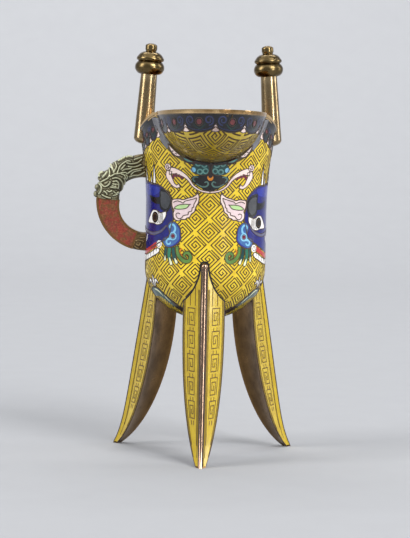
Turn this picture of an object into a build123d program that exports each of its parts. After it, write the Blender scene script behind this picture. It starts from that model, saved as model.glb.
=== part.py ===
from build123d import *
import math
import os

os.makedirs("parts", exist_ok=True)

# Bowl, in millimetres, with the table at z = 0 and the cup's axis at x = y = 0
bowl_floor_height = 57.5
bowl_depth = 22.0
cup_radius = 25.6
waist_top_height = 104.0
flare_radius = 175.0
enamel_thickness = 0.6
wall_thickness = 1.2

# Mouth: a scoop-like spout to the front (-Y), a pointed tail to the back (+Y)
spout_rim_height = 146.7
spout_rise = 1.7
post_rim_height = 136.8
tail_rim_height = 143.2
spout_radius = 22.4
spout_reach = 34.0
spout_shoulder = 19.5
saddle_middle = 3.0
tail_radius = 17.0
tail_start = 18.0
tail_length = 37.0
axis_over_rim = 0.5
rim_depth = 1.8
rim_proud_outside = 0.45
rim_proud_inside = 0.4

# Posts that stand on the rim at both sides
post_inset = 0.7
post_setback = -1.5
post_lean = 4.0
post_grip = 5.2
stem_height = 24.2
stem_foot_radius = 4.1
stem_top_radius = 3.45
stem_dome = 2.5
bead_radius = 6.2
bead_height = 5.6
groove_height = 0.5
cap_radius = 5.8
cap_height = 4.0
finial_radius = 2.5
finial_height = 3.6
shank_radius = 1.2
shank_depth = 6.0
shank_gap = 0.05

# Loop handle at the left (-X), with a beast's head over its upper quarter
post_to_handle_gap = 3.1
handle_outer_radius = 21.2
handle_inner_radius = 11.5
handle_eccentricity = 1.0
handle_width = 7.0
handle_edge = 0.9
handle_inlay_depth = 0.5
handle_inlay_proud = 0.1
head_start_angle = 174.0
head_width = 10.0
head_bulge = 2.7
head_lap = 0.2
mount_angle = 254.0
mount_width = 7.8
mount_proud = 0.4

# Three sabre legs, the tripod turned a little against the spout
leg_height = 81.7
hip_reach = 27.4
foot_reach = 45.0
toe_share = 0.18
hip_depth = 9.1
foot_depth = 3.0
heel_share = 0.15
leg_half_width = 8.8
foot_half_width = 2.0
taper_height = 60.0
back_hollow = 1.1
ridge_radius = 1.4
ridge_foot_radius = 1.0
ridge_inset = 0.6
ridge_end_radius = 1.55
ridge_end_drop = 0.3
panel_ridge_margin = 2.3
panel_edge_margin = 0.8
panel_depth = 0.45
panel_proud = 0.12
leg_turn = -3.5
leg_angles = {"front_leg": leg_turn - 90.0, "left_leg": leg_turn + 150.0, "right_leg": leg_turn + 30.0}

far = 3.0 * cup_radius
round_pull = 0.5523


def face_of(lines, plane=Plane.XY):
    return plane * make_face(lines)


def quarter(start, corner, end):
    start, corner, end = Vector(*start), Vector(*corner), Vector(*end)
    return Bezier(start, start + (corner - start) * round_pull, end + (corner - end) * round_pull, end)


def cup_blank(inset):
    side_height = bowl_floor_height + bowl_depth
    radius = cup_radius - inset
    centre = (cup_radius + flare_radius, waist_top_height)
    reach = flare_radius + inset
    top = spout_rim_height + 2.0
    turn = math.degrees(math.asin((top - waist_top_height) / reach))
    floor = bowl_floor_height + inset
    bottom = quarter((0, floor), (radius, floor), (radius, side_height))
    wall = Line((radius, side_height), (radius, waist_top_height))
    flare = CenterArc(centre, reach, 180, -turn)
    lid = Line(flare @ 1, (0, top))
    axis = Line((0, top), (0, floor))
    return Rot(0, 0, 60) * revolve(face_of([bottom, wall, flare, lid, axis], Plane.XZ), Axis.Z)


def spout_blank(inset):
    level = spout_rim_height + axis_over_rim
    radius = spout_radius - inset
    start = Line((0, level), (0, level + radius))
    straight = Line((0, level + radius), (-cup_radius, level + radius))
    tip = -cup_radius - spout_reach + inset
    nose = quarter((-cup_radius, level + radius), (tip, level + radius), (tip, level))
    axis = Line(nose @ 1, (0, level))
    shape = face_of([start, straight, nose, axis], Plane.YZ)
    return revolve(shape, Axis((0, 0, level), (0, 1, 0)))


def tail_blank(inset):
    level = tail_rim_height + axis_over_rim
    arc_radius = (tail_length**2 + tail_radius**2) / (2 * tail_radius)
    rise = arc_radius - tail_radius
    reach = arc_radius - inset
    turn = math.degrees(math.acos(rise / reach))
    start = Line((0, level), (0, level - rise + reach))
    straight = Line(start @ 1, (tail_start, level - rise + reach))
    side = CenterArc((tail_start, level - rise), reach, 90, -turn)
    axis = Line(side @ 1, (0, level))
    shape = face_of([start, straight, side, axis], Plane.YZ)
    return revolve(shape, Axis((0, 0, level), (0, 1, 0)))


def vessel_blank(inset):
    return cup_blank(inset) + spout_blank(inset) + tail_blank(inset)


def over_mouth(drop):
    corner_height = spout_rim_height - spout_rise - drop
    slope = spout_rise / (cup_radius + spout_reach - spout_shoulder)
    spout_level = corner_height + slope * (far - spout_shoulder)
    run = spout_shoulder + saddle_middle
    fall_height = corner_height - (post_rim_height - drop)
    shoulder = (-spout_shoulder, corner_height)
    fall_shares = ((0.29, 0.38), (0.64, 0.8))
    bends = [(run * along - spout_shoulder, corner_height - fall_height * down) for along, down in fall_shares]
    dip = (saddle_middle, post_rim_height - drop)
    tail_edge = (tail_start + tail_length, tail_rim_height - drop)
    front = Line((-far, spout_level), shoulder)
    fall = Spline(shoulder, *bends, dip, tangents=[(1, -0.4), (1, 0)])
    climb = Spline(dip, tail_edge, tangents=[(1, 0), (1, 0.1)])
    back = Line(tail_edge, (far, tail_rim_height - drop))
    up = Line(back @ 1, (far, 4 * far))
    over = Line((far, 4 * far), (-far, 4 * far))
    side = Line((-far, 4 * far), (-far, spout_level))
    return extrude(face_of([front, fall, climb, back, up, over, side], Plane.YZ), far, both=True)


def leg_share(height):
    return 1.0 - height / leg_height


def ridge_reach(height):
    share = leg_share(height)
    sweep = (1 - toe_share) * share + toe_share * share**12
    return hip_reach + (foot_reach - hip_reach) * sweep


def inner_reach(height):
    share = leg_share(height)
    sweep = (1 - heel_share) * share**2.6 + heel_share * share**14
    hip_inner = hip_reach - hip_depth
    return hip_inner + (foot_reach - foot_depth - hip_inner) * sweep


def half_width(height):
    share = max(0.0, 1.0 - height / taper_height)
    return foot_half_width + (leg_half_width - foot_half_width) * (1 - share**2.6) ** 0.85


def wire_radius(height):
    return ridge_radius + (ridge_foot_radius - ridge_radius) * leg_share(height) ** 3


leg_levels = [leg_height * share for share in (0, 0.05, 0.12, 0.23, 0.38, 0.56, 0.76, 1.0)]


def leg_section(height):
    apex = (ridge_reach(height) - ridge_inset, 0)
    inner = inner_reach(height)
    half = half_width(height)
    hollow = back_hollow * half / leg_half_width
    left = Line((inner, half), apex)
    right = Line(apex, (inner, -half))
    back = ThreePointArc((inner, -half), (inner + hollow, 0), (inner, half))
    return face_of([left, right, back], Plane.XY.offset(height))


def panel_section(height, side):
    apex = Vector(ridge_reach(height) - ridge_inset, 0)
    edge = Vector(inner_reach(height), side * half_width(height))
    along = (edge - apex).normalized()
    out = Vector(-along.Y, along.X) * (-side)
    first = apex + along * panel_ridge_margin
    last = edge - along * panel_edge_margin
    corners = [
        first + out * panel_proud,
        last + out * panel_proud,
        last - out * panel_depth,
        first - out * panel_depth,
    ]
    return face_of(Polyline(*corners, close=True), Plane.XY.offset(height))


def ridge_section(height):
    radius = wire_radius(height)
    return Pos(ridge_reach(height) - radius, 0, height) * Circle(radius)


pieces = {}

# Copper bowl, rim and outer enamel before the other pieces cut it
outside = vessel_blank(0)
copper_outside = vessel_blank(enamel_thickness)
copper_inside = vessel_blank(enamel_thickness + wall_thickness)
above_band = over_mouth(rim_depth)
above_rim = over_mouth(0)
copper_cup = cup_blank(enamel_thickness)
pieces["vessel_body"] = copper_outside - copper_inside - above_band
enamel = outside - copper_outside - above_band
rim = vessel_blank(-rim_proud_outside)
rim = rim - vessel_blank(enamel_thickness + wall_thickness + rim_proud_inside)
pieces["rim_band"] = (rim & above_band) - above_rim

# Legs with a ridge wire and two enamelled faces each
blade = loft([leg_section(height) for height in leg_levels])
wire = loft([ridge_section(height) for height in leg_levels])
wire_end = Pos(ridge_reach(leg_height) - ridge_radius, 0, leg_height - ridge_end_drop)
wire += wire_end * Sphere(ridge_end_radius)
leg_pieces = {"": blade - wire, "_ridge": wire - copper_cup}
for name, side in (("left", -1), ("right", 1)):
    panel = loft([panel_section(height, side) for height in leg_levels[1:]])
    leg_pieces[""] -= panel
    leg_pieces["_" + name + "_enamel"] = panel - cup_blank(0)
leg_pieces[""] -= copper_cup
for leg, angle in leg_angles.items():
    turn = Rot(0, 0, angle)
    for name, piece in leg_pieces.items():
        pieces[leg + name] = turn * piece
    enamel = enamel - pieces[leg] - pieces[leg + "_ridge"]

# Handle loop, its inlays, the lower mount and the beast's head
handle_x = -cup_radius
head_top = handle_outer_radius + 0.3 * head_bulge
handle_height = post_rim_height - post_grip - post_to_handle_gap - head_top


def ring(outer, inner, width):
    hoop = Pos(handle_x, 0, handle_height + handle_eccentricity) * Rot(90, 0, 0) * Cylinder(outer, width)
    hole = Pos(handle_x, 0, handle_height - handle_eccentricity) * Rot(90, 0, 0) * Cylinder(inner, 2 * width)
    return hoop - hole


def sector(first_angle, last_angle):
    reach = 3 * handle_outer_radius
    first = math.radians(first_angle)
    start = Line((0, 0), (reach * math.cos(first), reach * math.sin(first)))
    sweep = CenterArc((0, 0), reach, first_angle, last_angle - first_angle)
    end = Line(sweep @ 1, (0, 0))
    wedge = extrude(face_of([start, sweep, end], Plane.XZ), 2 * handle_width, both=True)
    return Pos(handle_x, 0, handle_height) * wedge


loop = ring(handle_outer_radius, handle_inner_radius, handle_width)
edge = handle_edge
inlay_outer = handle_outer_radius - edge
inlay_inner = handle_inner_radius + edge
inlay_sector = sector(head_start_angle + 1.5, mount_angle - 2.0)
loop_sector = sector(head_start_angle, 330.0)
side_ring = ring(inlay_outer, inlay_inner, handle_inlay_depth + handle_inlay_proud) & inlay_sector
side_shift = handle_width / 2 + handle_inlay_proud - (handle_inlay_depth + handle_inlay_proud) / 2
inlays = {
    "handle_front_enamel": Pos(0, -side_shift, 0) * side_ring,
    "handle_back_enamel": Pos(0, side_shift, 0) * side_ring,
}
shell = Pos(handle_x, 0, handle_height + handle_eccentricity) * Rot(90, 0, 0)
outer_skin = shell * Cylinder(handle_outer_radius + handle_inlay_proud, handle_width - 2 * edge)
outer_skin -= shell * Cylinder(handle_outer_radius - handle_inlay_depth, handle_width)
inlays["handle_outer_enamel"] = outer_skin & inlay_sector

mount = ring(handle_outer_radius + mount_proud, handle_inner_radius - mount_proud, mount_width)
mount = (mount & sector(mount_angle, 330.0)) - copper_cup


def head_section(angle, bulge, width):
    place = math.radians(angle)
    thick = handle_outer_radius - handle_inner_radius + bulge + head_lap
    reach = (handle_outer_radius + bulge + handle_inner_radius - head_lap) / 2
    origin = (handle_x + reach * math.cos(place), 0, handle_height + reach * math.sin(place))
    outward = (math.cos(place), 0, math.sin(place))
    along = (-math.sin(place), 0, math.cos(place))
    cut = Plane(origin=origin, x_dir=outward, z_dir=along)
    return cut * RectangleRounded(thick, width, 0.42 * min(thick, width))


head = loft(
    [
        head_section(80, 0.2 * head_bulge, 0.82 * head_width),
        head_section(112, 0.3 * head_bulge, 0.86 * head_width),
        head_section(134, 0.65 * head_bulge, 0.95 * head_width),
        head_section(150, head_bulge, head_width),
        head_section(162, 0.55 * head_bulge, head_width),
        head_section(head_start_angle, 0.3 * head_bulge, 0.9 * head_width),
    ]
)
for angle, spread, radius in ((162.5, 2.2, 1.7), (170.5, 1.6, 1.6)):
    for side in (-1, 1):
        place = math.radians(angle)
        reach = handle_outer_radius + 0.35 * head_bulge
        ball = Pos(
            handle_x + reach * math.cos(place),
            side * spread,
            handle_height + reach * math.sin(place),
        )
        head += ball * Sphere(radius)
pieces["handle_loop"] = (loop & loop_sector) - copper_cup - mount - head
for name, inlay in inlays.items():
    pieces["handle_loop"] -= inlay
    pieces[name] = inlay
pieces["handle_lower_mount"] = mount
pieces["handle_beast_head"] = head - copper_cup
for name in ("handle_loop", "handle_lower_mount", "handle_beast_head"):
    enamel = enamel - pieces[name]
pieces["body_enamel"] = enamel

# Posts: stem, bead, cap and finial
flare_rise = post_rim_height - waist_top_height
rim_radius = cup_radius + flare_radius - math.sqrt(flare_radius**2 - flare_rise**2)
post_offset = rim_radius - (enamel_thickness + wall_thickness) / 2 - post_inset
stem = face_of(
    [
        Line((0, stem_height), (0, -post_grip)),
        quarter((0, -post_grip), (stem_foot_radius, -post_grip), (stem_foot_radius, stem_dome - post_grip)),
        Line((stem_foot_radius, stem_dome - post_grip), (stem_top_radius, stem_height)),
        Line((stem_top_radius, stem_height), (0, stem_height)),
    ],
    Plane.XZ,
)
hole = shank_radius + shank_gap
bead_top = bead_height - groove_height
bead = face_of(
    [
        Line((hole, 0), (0.9 * stem_top_radius, 0)),
        ThreePointArc(
            (0.9 * stem_top_radius, 0),
            (bead_radius, 0.55 * bead_top),
            (0.86 * bead_radius, bead_top),
        ),
        Line((0.86 * bead_radius, bead_top), (0.78 * bead_radius, bead_height)),
        Line((0.78 * bead_radius, bead_height), (hole, bead_height)),
        Line((hole, bead_height), (hole, 0)),
    ],
    Plane.XZ,
)
cap = face_of(
    [
        Line((hole, 0), (0.84 * cap_radius, 0)),
        ThreePointArc(
            (0.84 * cap_radius, 0),
            (cap_radius, 0.22 * cap_height),
            (0.93 * cap_radius, 0.45 * cap_height),
        ),
        ThreePointArc(
            (0.93 * cap_radius, 0.45 * cap_height),
            (0.74 * cap_radius, 0.8 * cap_height),
            (finial_radius, cap_height),
        ),
        Line((finial_radius, cap_height), (hole, cap_height)),
        Line((hole, cap_height), (hole, 0)),
    ],
    Plane.XZ,
)
shank_bottom = -(cap_height + bead_height + shank_depth)
finial = face_of(
    [
        Line((0, shank_bottom), (shank_radius, shank_bottom)),
        Line((shank_radius, shank_bottom), (shank_radius, 0)),
        Line((shank_radius, 0), (0.86 * finial_radius, 0)),
        Line((0.86 * finial_radius, 0), (finial_radius, 0.3 * finial_height)),
        Line((finial_radius, 0.3 * finial_height), (finial_radius, 0.65 * finial_height)),
        quarter((finial_radius, 0.65 * finial_height), (finial_radius, finial_height), (0, finial_height)),
        Line((0, finial_height), (0, shank_bottom)),
    ],
    Plane.XZ,
)
stem = revolve(stem, Axis.Z)
stem -= Pos(0, 0, stem_height - shank_depth / 2) * Cylinder(hole, shank_depth + 2 * shank_gap)
cap_level = stem_height + bead_height
levels = {"bead": stem_height, "cap": cap_level, "finial": cap_level + cap_height}
for name, side in (("left", -1), ("right", 1)):
    lean = math.radians(post_lean)
    axis = (-side * math.sin(lean), 0, math.cos(lean))
    post_foot = (side * post_offset, post_setback, post_rim_height)
    place = Location(Plane(post_foot, x_dir=(0, 1, 0), z_dir=axis))
    fitted_stem = place * stem - pieces["vessel_body"] - pieces["body_enamel"]
    pieces[name + "_post_stem"] = fitted_stem - pieces["rim_band"]
    for part, shape in (("bead", bead), ("cap", cap), ("finial", finial)):
        pieces[name + "_post_" + part] = place * Pos(0, 0, levels[part]) * revolve(shape, Axis.Z)

# The origin goes under the middle of the whole vessel's box
box = Compound([piece for piece in pieces.values()]).bounding_box()
shift = Pos(-(box.min.X + box.max.X) / 2, -(box.min.Y + box.max.Y) / 2, -box.min.Z)
for name, piece in pieces.items():
    placed = shift * piece
    export_step(placed, "parts/" + name + ".step")
    print(name, round(placed.volume, 1), len(placed.solids()), placed.bounding_box())
print("shift", shift)
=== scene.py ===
import math

import bmesh
import bpy
from mathutils import Matrix, Vector
from mathutils.bvhtree import BVHTree
from mathutils.geometry import delaunay_2d_cdt
from mathutils.kdtree import KDTree


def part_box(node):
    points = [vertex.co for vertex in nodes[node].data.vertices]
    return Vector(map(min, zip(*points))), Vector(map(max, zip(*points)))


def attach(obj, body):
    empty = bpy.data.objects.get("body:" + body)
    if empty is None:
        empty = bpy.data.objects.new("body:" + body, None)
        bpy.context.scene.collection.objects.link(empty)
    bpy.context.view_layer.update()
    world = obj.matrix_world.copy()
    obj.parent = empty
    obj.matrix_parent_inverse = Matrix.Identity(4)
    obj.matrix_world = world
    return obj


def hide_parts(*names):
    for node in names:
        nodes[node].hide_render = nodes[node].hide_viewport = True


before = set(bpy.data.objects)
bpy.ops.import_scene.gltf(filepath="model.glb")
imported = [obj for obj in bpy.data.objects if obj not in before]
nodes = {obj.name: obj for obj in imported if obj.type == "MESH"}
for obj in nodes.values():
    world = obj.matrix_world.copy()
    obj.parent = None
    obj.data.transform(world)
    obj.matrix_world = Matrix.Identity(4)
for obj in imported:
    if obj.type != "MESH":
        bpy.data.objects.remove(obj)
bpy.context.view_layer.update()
print("frame loaded,", len(nodes), "nodes")

# the cup's own axis in the shared frame, read from the post stems and the front edge of the spout's rim
mm = 0.001
cup = {
    "radius": 25.6,
    "mouth": 29.0,  # radius at the rim
    "sideLow": 79.5,
    "sideHigh": 104.0,
    "flare": 175.0,
    "bowlDepth": 22.0,
    "mostBend": 1.55,  # on the round bottom, just short of its middle
}
spout = {"radius": 22.4, "level": 147.2, "reach": 34.0}
tail = {
    "radius": 17.0,
    "level": 143.7,
    "start": 18.0,
    "arc": 48.76,
    "tip": 55.0,
    "leastRadius": 0.4,  # at the tip
    "leastCurve": 5.0,
}
rim = {  # heights of the mouth's edge, and the places of two of them
    "proud": 0.45,  # of the wall
    "spoutTip": 146.7,
    "shoulder": 145.0,
    "shoulderY": -19.5,
    "saddle": 136.8,
    "saddleY": 3.0,
    "tailTip": 143.2,
}
axisX = (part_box("left_post_stem")[0].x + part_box("right_post_stem")[1].x) / 2
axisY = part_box("rim_band")[0].y + (cup["radius"] + spout["reach"] + rim["proud"]) * mm


def placed(point):
    return Vector((point.x * mm + axisX, point.y * mm + axisY, point.z * mm))


# the facets of the solids stray from the true curve, so whatever lies on the enamel is seated on them
skinPoints, skinFaces = [], []
for name in ("body_enamel", "rim_band"):
    first = len(skinPoints)
    skinPoints += [v.co.copy() for v in nodes[name].data.vertices]
    skinFaces += [[first + i for i in p.vertices] for p in nodes[name].data.polygons]
skin = BVHTree.FromPolygons(skinPoints, skinFaces)
skinReach = 1.5


def seated(point, normal, reach=skinReach):
    spot = skin.ray_cast(placed(point + normal * reach), -normal, 2 * reach * mm)[0]
    if spot is None:
        return point
    return Vector((spot.x - axisX, spot.y - axisY, spot.z)) / mm


# charts: each turns a flat drawing (u, v) in mm into a point and a normal on the vessel's skin
def cupRadius(height):
    if height > cup["sideHigh"]:
        rise = height - cup["sideHigh"]
        return cup["radius"] + cup["flare"] - math.sqrt(cup["flare"] ** 2 - rise**2)
    if height >= cup["sideLow"]:
        return cup["radius"]
    return cup["radius"] * math.sqrt(max(0.0, 1 - ((cup["sideLow"] - height) / cup["bowlDepth"]) ** 2))


def lowered(height):  # drawing height v of a real height on the round bottom
    return cup["sideLow"] - cup["bowlDepth"] * math.asin((cup["sideLow"] - height) / cup["bowlDepth"])


def cupChart(u, v):  # u is arc length from the front centre, towards the right
    turn = u / cup["radius"]
    if v >= cup["sideLow"]:
        radius, height = cupRadius(v), v
        rise = max(0.0, v - cup["sideHigh"])
        out, up = 1.0, -rise / math.sqrt(cup["flare"] ** 2 - rise**2)
    else:
        bend = min((cup["sideLow"] - v) / cup["bowlDepth"], cup["mostBend"])
        radius, height = cup["radius"] * math.cos(bend), cup["sideLow"] - cup["bowlDepth"] * math.sin(bend)
        out, up = math.cos(bend) / cup["radius"], -math.sin(bend) / cup["bowlDepth"]
    side = Vector((math.sin(turn), -math.cos(turn), 0.0))
    normal = (side * out + Vector((0, 0, up))).normalized()
    return seated(side * radius + Vector((0, 0, height)), normal), normal


def maskChart(side, half):  # u runs from the mask's middle line, half 1 to the front and -1 to the back
    quarterTurn = cup["radius"] * math.pi / 2
    return lambda u, v: cupChart(side * (quarterTurn - half * u), v)


def spoutRadius(y):
    ahead = -cup["radius"] - y
    if ahead <= 0:
        return spout["radius"]
    return spout["radius"] * math.sqrt(max(0.0, 1 - (ahead / spout["reach"]) ** 2))


def tailRadius(y):
    if y <= tail["start"]:
        return tail["radius"]
    rise = tail["arc"] - tail["radius"]
    return max(0.0, math.sqrt(max(0.0, tail["arc"] ** 2 - (y - tail["start"]) ** 2)) - rise)


def slopeOf(radiusAt, y, step=0.05):
    return (radiusAt(y + step) - radiusAt(y - step)) / (2 * step)


def keelChart(radiusAt, level, widest=0.985):  # u is x, v is y: the underside of spout or tail, from below
    def chart(u, v):
        radius = radiusAt(v)
        across = max(-widest * radius, min(widest * radius, u))
        drop = math.sqrt(max(radius**2 - across**2, 0.0001))
        normal = Vector((across, -radius * slopeOf(radiusAt, v), -drop)).normalized()
        return seated(Vector((across, v, level - drop)), normal), normal
    return chart


def rimHeight(y):
    if y < rim["shoulderY"]:
        share = (rim["shoulderY"] - y) / (cup["radius"] + spout["reach"] + rim["shoulderY"])
        return rim["shoulder"] + (rim["spoutTip"] - rim["shoulder"]) * share
    if y < rim["saddleY"]:
        share = (y - rim["shoulderY"]) / (rim["saddleY"] - rim["shoulderY"])
        fall = 1.25 * share + 0.25 * share**2 - 0.5 * share**3
        return rim["shoulder"] + (rim["saddle"] - rim["shoulder"]) * fall
    share = (y - rim["saddleY"]) / (tail["tip"] - rim["saddleY"])
    return rim["saddle"] + (rim["tailTip"] - rim["saddle"]) * (1.6 * share**2 - 0.6 * share**3)


lipSteps = 400
lipTable = [(0.0, math.pi / 2)]  # arc length from the spout's tip against the ellipse angle
for step in range(1, lipSteps + 1):
    angle = math.pi / 2 * (1 - step / lipSteps)
    middle = angle + math.pi / 4 / lipSteps
    run = math.hypot(spout["radius"] * math.sin(middle), spout["reach"] * math.cos(middle))
    lipTable.append((lipTable[-1][0] + run * math.pi / 2 / lipSteps, angle))


def lipChart(u, v):  # u runs along the spout's lip from its tip, v is the depth below the lip
    length = abs(u)
    side = 1.0 if u >= 0 else -1.0
    quarter = lipTable[-1][0]
    if length < quarter:
        index = min(int(length / quarter * lipSteps), lipSteps - 1)
        while lipTable[index][0] > length:
            index -= 1
        while index < lipSteps - 1 and lipTable[index + 1][0] < length:
            index += 1
        (near, first), (distant, second) = lipTable[index], lipTable[index + 1]
        angle = first + (second - first) * (length - near) / (distant - near)
        straight = 0.0
    else:
        angle, straight = 0.0, length - quarter
    y = -cup["radius"] - spout["reach"] * math.sin(angle) + straight
    latitude = (spout["level"] - rimHeight(y) + v) / spout["radius"]
    across, ahead = spout["radius"], spout["reach"]
    flat, down = math.cos(latitude), math.sin(latitude)
    x, forward = side * across * flat * math.cos(angle), ahead * flat * math.sin(angle)
    point = Vector((x, -cup["radius"] - forward + straight, spout["level"] - across * down))
    normal = Vector((x / across**2, -forward / ahead**2, -down / across)).normalized()
    return seated(point, normal), normal


def flankChart(u, v):  # the cup's wall above, u as on the cup, v the depth below the rim
    return cupChart(u, rimHeight(-cup["mouth"] * math.cos(u / cup["radius"])) - v)


def tailLipChart(u, v):  # u is the signed distance along the tail, v the depth below the rim
    y = tail["start"] + abs(u)
    radius = max(tailRadius(y), tail["leastRadius"])
    bend = (tail["level"] - rimHeight(y) + v) / max(radius, tail["leastCurve"])
    side = 1.0 if u >= 0 else -1.0
    normal = Vector((side * math.cos(bend), -slopeOf(tailRadius, y), -math.sin(bend))).normalized()
    point = Vector((side * radius * math.cos(bend), y, tail["level"] - radius * math.sin(bend)))
    return seated(point, normal), normal


# drawing helpers on the flat
def smooth(points, closed=True, pieces=5):
    count = len(points)
    line = []
    for i in range(count if closed else count - 1):
        if closed:
            corners = [points[(i + k) % count] for k in (-1, 0, 1, 2)]
        else:
            corners = [points[max(0, min(i + k, count - 1))] for k in (-1, 0, 1, 2)]
        for k in range(pieces):
            t = k / pieces
            weights = (
                (-t + 2 * t**2 - t**3) / 2,
                (2 - 5 * t**2 + 3 * t**3) / 2,
                (t + 4 * t**2 - 3 * t**3) / 2,
                (-(t**2) + t**3) / 2,
            )
            line.append(tuple(sum(w * p[axis] for w, p in zip(weights, corners)) for axis in (0, 1)))
    return line if closed else line + [points[-1]]


def spaced(path, gap, closed=False, least=-1.0):  # the path with points no further apart than the gap
    line = []
    for (a, b), (c, d) in zip(path, path[1:] + path[:1]) if closed else zip(path, path[1:]):
        run = math.hypot(c - a, d - b)
        if run > least:
            parts = max(1, math.ceil(run / gap))
            line += [(a + (c - a) * k / parts, b + (d - b) * k / parts) for k in range(parts)]
    return line if closed else line + [path[-1]]


def disc(u, v, radius, sides=20):
    turns = [2 * math.pi * i / sides for i in range(sides)]
    return [(u + radius * math.cos(turn), v + radius * math.sin(turn)) for turn in turns]


def shrunk(outline, share):
    u = sum(p[0] for p in outline) / len(outline)
    v = sum(p[1] for p in outline) / len(outline)
    return [(u + (p[0] - u) * share, v + (p[1] - v) * share) for p in outline]


def blade(path, widths):  # outline round a smooth middle line whose width changes along it
    line = smooth(path, closed=False, pieces=6)
    left, right = [], []
    for i, (u, v) in enumerate(line):
        before, after = line[max(i - 1, 0)], line[min(i + 1, len(line) - 1)]
        run = math.hypot(after[0] - before[0], after[1] - before[1]) or 1.0
        nu, nv = -(after[1] - before[1]) / run, (after[0] - before[0]) / run
        share = i / (len(line) - 1) * (len(widths) - 1)
        k = min(int(share), len(widths) - 2)
        half = (widths[k] + (widths[k + 1] - widths[k]) * (share - k)) / 2
        left.append((u + nu * half, v + nv * half))
        right.append((u - nu * half, v - nv * half))
    return left + right[::-1]


def curl(u, v, radius, turns=1.4, start=0.0, hand=1, inner=0.25):
    count = int(14 * turns)
    path = []
    for i in range(count + 1):
        size = radius * (1 - (1 - inner) * i / count)
        turn = start + hand * 2 * math.pi * turns * i / count
        path.append((u + size * math.cos(turn), v + size * math.sin(turn)))
    return path


# closed thin solids that lie on the skin: enamel cells and wires
def newCells():
    return {"points": [], "faces": []}


def addTile(cells, outline, chart, low, high, gap=1.4):
    flat = spaced(outline, gap, True, 0.03)
    ring = [(i, (i + 1) % len(flat)) for i in range(len(flat))]
    seeds = [Vector(p) for p in flat]
    lowU, highU = min(p[0] for p in flat), max(p[0] for p in flat)
    lowV, highV = min(p[1] for p in flat), max(p[1] for p in flat)
    for i in range(1, int((highU - lowU) / gap) + 1):
        for k in range(1, int((highV - lowV) / gap) + 1):
            seeds.append(Vector((lowU + i * gap + 0.37 * gap * (k % 2), lowV + k * gap)))
    spots, _, triangles, _, _, _ = delaunay_2d_cdt(seeds, ring, [], 1, 0.0005)
    used = sorted({i for t in triangles for i in t})
    place = {}
    for i in used:
        point, normal = chart(spots[i].x, spots[i].y)
        place[i] = len(cells["points"])
        cells["points"].append(placed(point + normal * high))
        cells["points"].append(placed(point + normal * low))
    single = {}
    for t in triangles:
        for a, b in zip(t, t[1:] + t[:1]):
            single[(a, b)] = t
        cells["faces"].append([place[i] for i in t])
        cells["faces"].append([place[i] + 1 for i in reversed(t)])
    for a, b in single:
        if (b, a) not in single:
            cells["faces"].append([place[b], place[a], place[a] + 1, place[b] + 1])


def addRibbon(cells, path, chart, width, low, high, closed=False, step=1.3):
    line = spaced(path, step, closed)
    first = len(cells["points"])
    count = len(line)
    for i, (u, v) in enumerate(line):
        before = line[i - 1] if closed or i else line[0]
        after = line[(i + 1) % count] if closed or i < count - 1 else line[-1]
        inRun = math.hypot(u - before[0], v - before[1]) or 1.0
        outRun = math.hypot(after[0] - u, after[1] - v) or 1.0
        tu = (u - before[0]) / inRun + (after[0] - u) / outRun
        tv = (v - before[1]) / inRun + (after[1] - v) / outRun
        size = math.hypot(tu, tv) or 1.0
        nu, nv = -tv / size, tu / size
        ends = (not closed) and i in (0, count - 1)
        half = width / 2 * (1.0 if ends else min(1.6, 2.0 / size))
        for sign, rise in ((1, high), (-1, high), (-1, low), (1, low)):
            point, normal = chart(u + sign * nu * half, v + sign * nv * half)
            cells["points"].append(placed(point + normal * rise))
    for i in range(count if closed else count - 1):
        a, b = first + 4 * i, first + 4 * ((i + 1) % count)
        for k in range(4):
            cells["faces"].append([a + k, a + (k + 1) % 4, b + (k + 1) % 4, b + k])
    if not closed:
        last = first + 4 * (count - 1)
        cells["faces"].append([first + 3, first + 2, first + 1, first])
        cells["faces"].append([last, last + 1, last + 2, last + 3])


def addLoft(cells, sections):  # closed skin through rings of equal count
    first, size = len(cells["points"]), len(sections[0])
    for section in sections:
        cells["points"] += [placed(p) for p in section]
    for i in range(len(sections) - 1):
        for k in range(size):
            a, b = first + i * size + k, first + i * size + (k + 1) % size
            cells["faces"].append([a, b, b + size, a + size])
    last = first + (len(sections) - 1) * size
    cells["faces"].append([first + k for k in reversed(range(size))])
    cells["faces"].append([last + k for k in range(size)])


def addPiece(name, cells, material, sharp=35.0):
    mesh = bpy.data.meshes.new(name)
    mesh.from_pydata(cells["points"], [], cells["faces"])
    shape = bmesh.new()
    shape.from_mesh(mesh)
    bmesh.ops.recalc_face_normals(shape, faces=shape.faces)
    shape.to_mesh(mesh)
    shape.free()
    mesh.polygons.foreach_set("use_smooth", [True] * len(mesh.polygons))
    mesh.set_sharp_from_angle(angle=math.radians(sharp))
    mesh.materials.append(material)
    piece = bpy.data.objects.new(name, mesh)
    bpy.context.scene.collection.objects.link(piece)
    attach(piece, "root")
    return piece


# materials
def tone(red, green, blue):  # screen colour to linear
    def channel(value):
        value /= 255
        return value / 12.92 if value <= 0.04045 else ((value + 0.055) / 1.055) ** 2.4
    return (channel(red), channel(green), channel(blue), 1.0)


def feed(tree, value, socket):  # a link from another socket, or a plain value
    if isinstance(value, bpy.types.NodeSocket):
        tree.links.new(value, socket)
    else:
        socket.default_value = value


def ranged(tree, source, low, high, first=0.0, last=1.0):
    node = tree.nodes.new("ShaderNodeMapRange")
    values = {"Value": source, "From Min": low, "From Max": high, "To Min": first, "To Max": last}
    for label, value in values.items():
        feed(tree, value, node.inputs[label])
    return node.outputs["Result"]


def mixed(tree, share, first, second):
    node = tree.nodes.new("ShaderNodeMix")
    node.data_type = "RGBA"
    for index, value in ((0, share), (6, first), (7, second)):
        feed(tree, value, node.inputs[index])
    return node.outputs[2]


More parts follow.
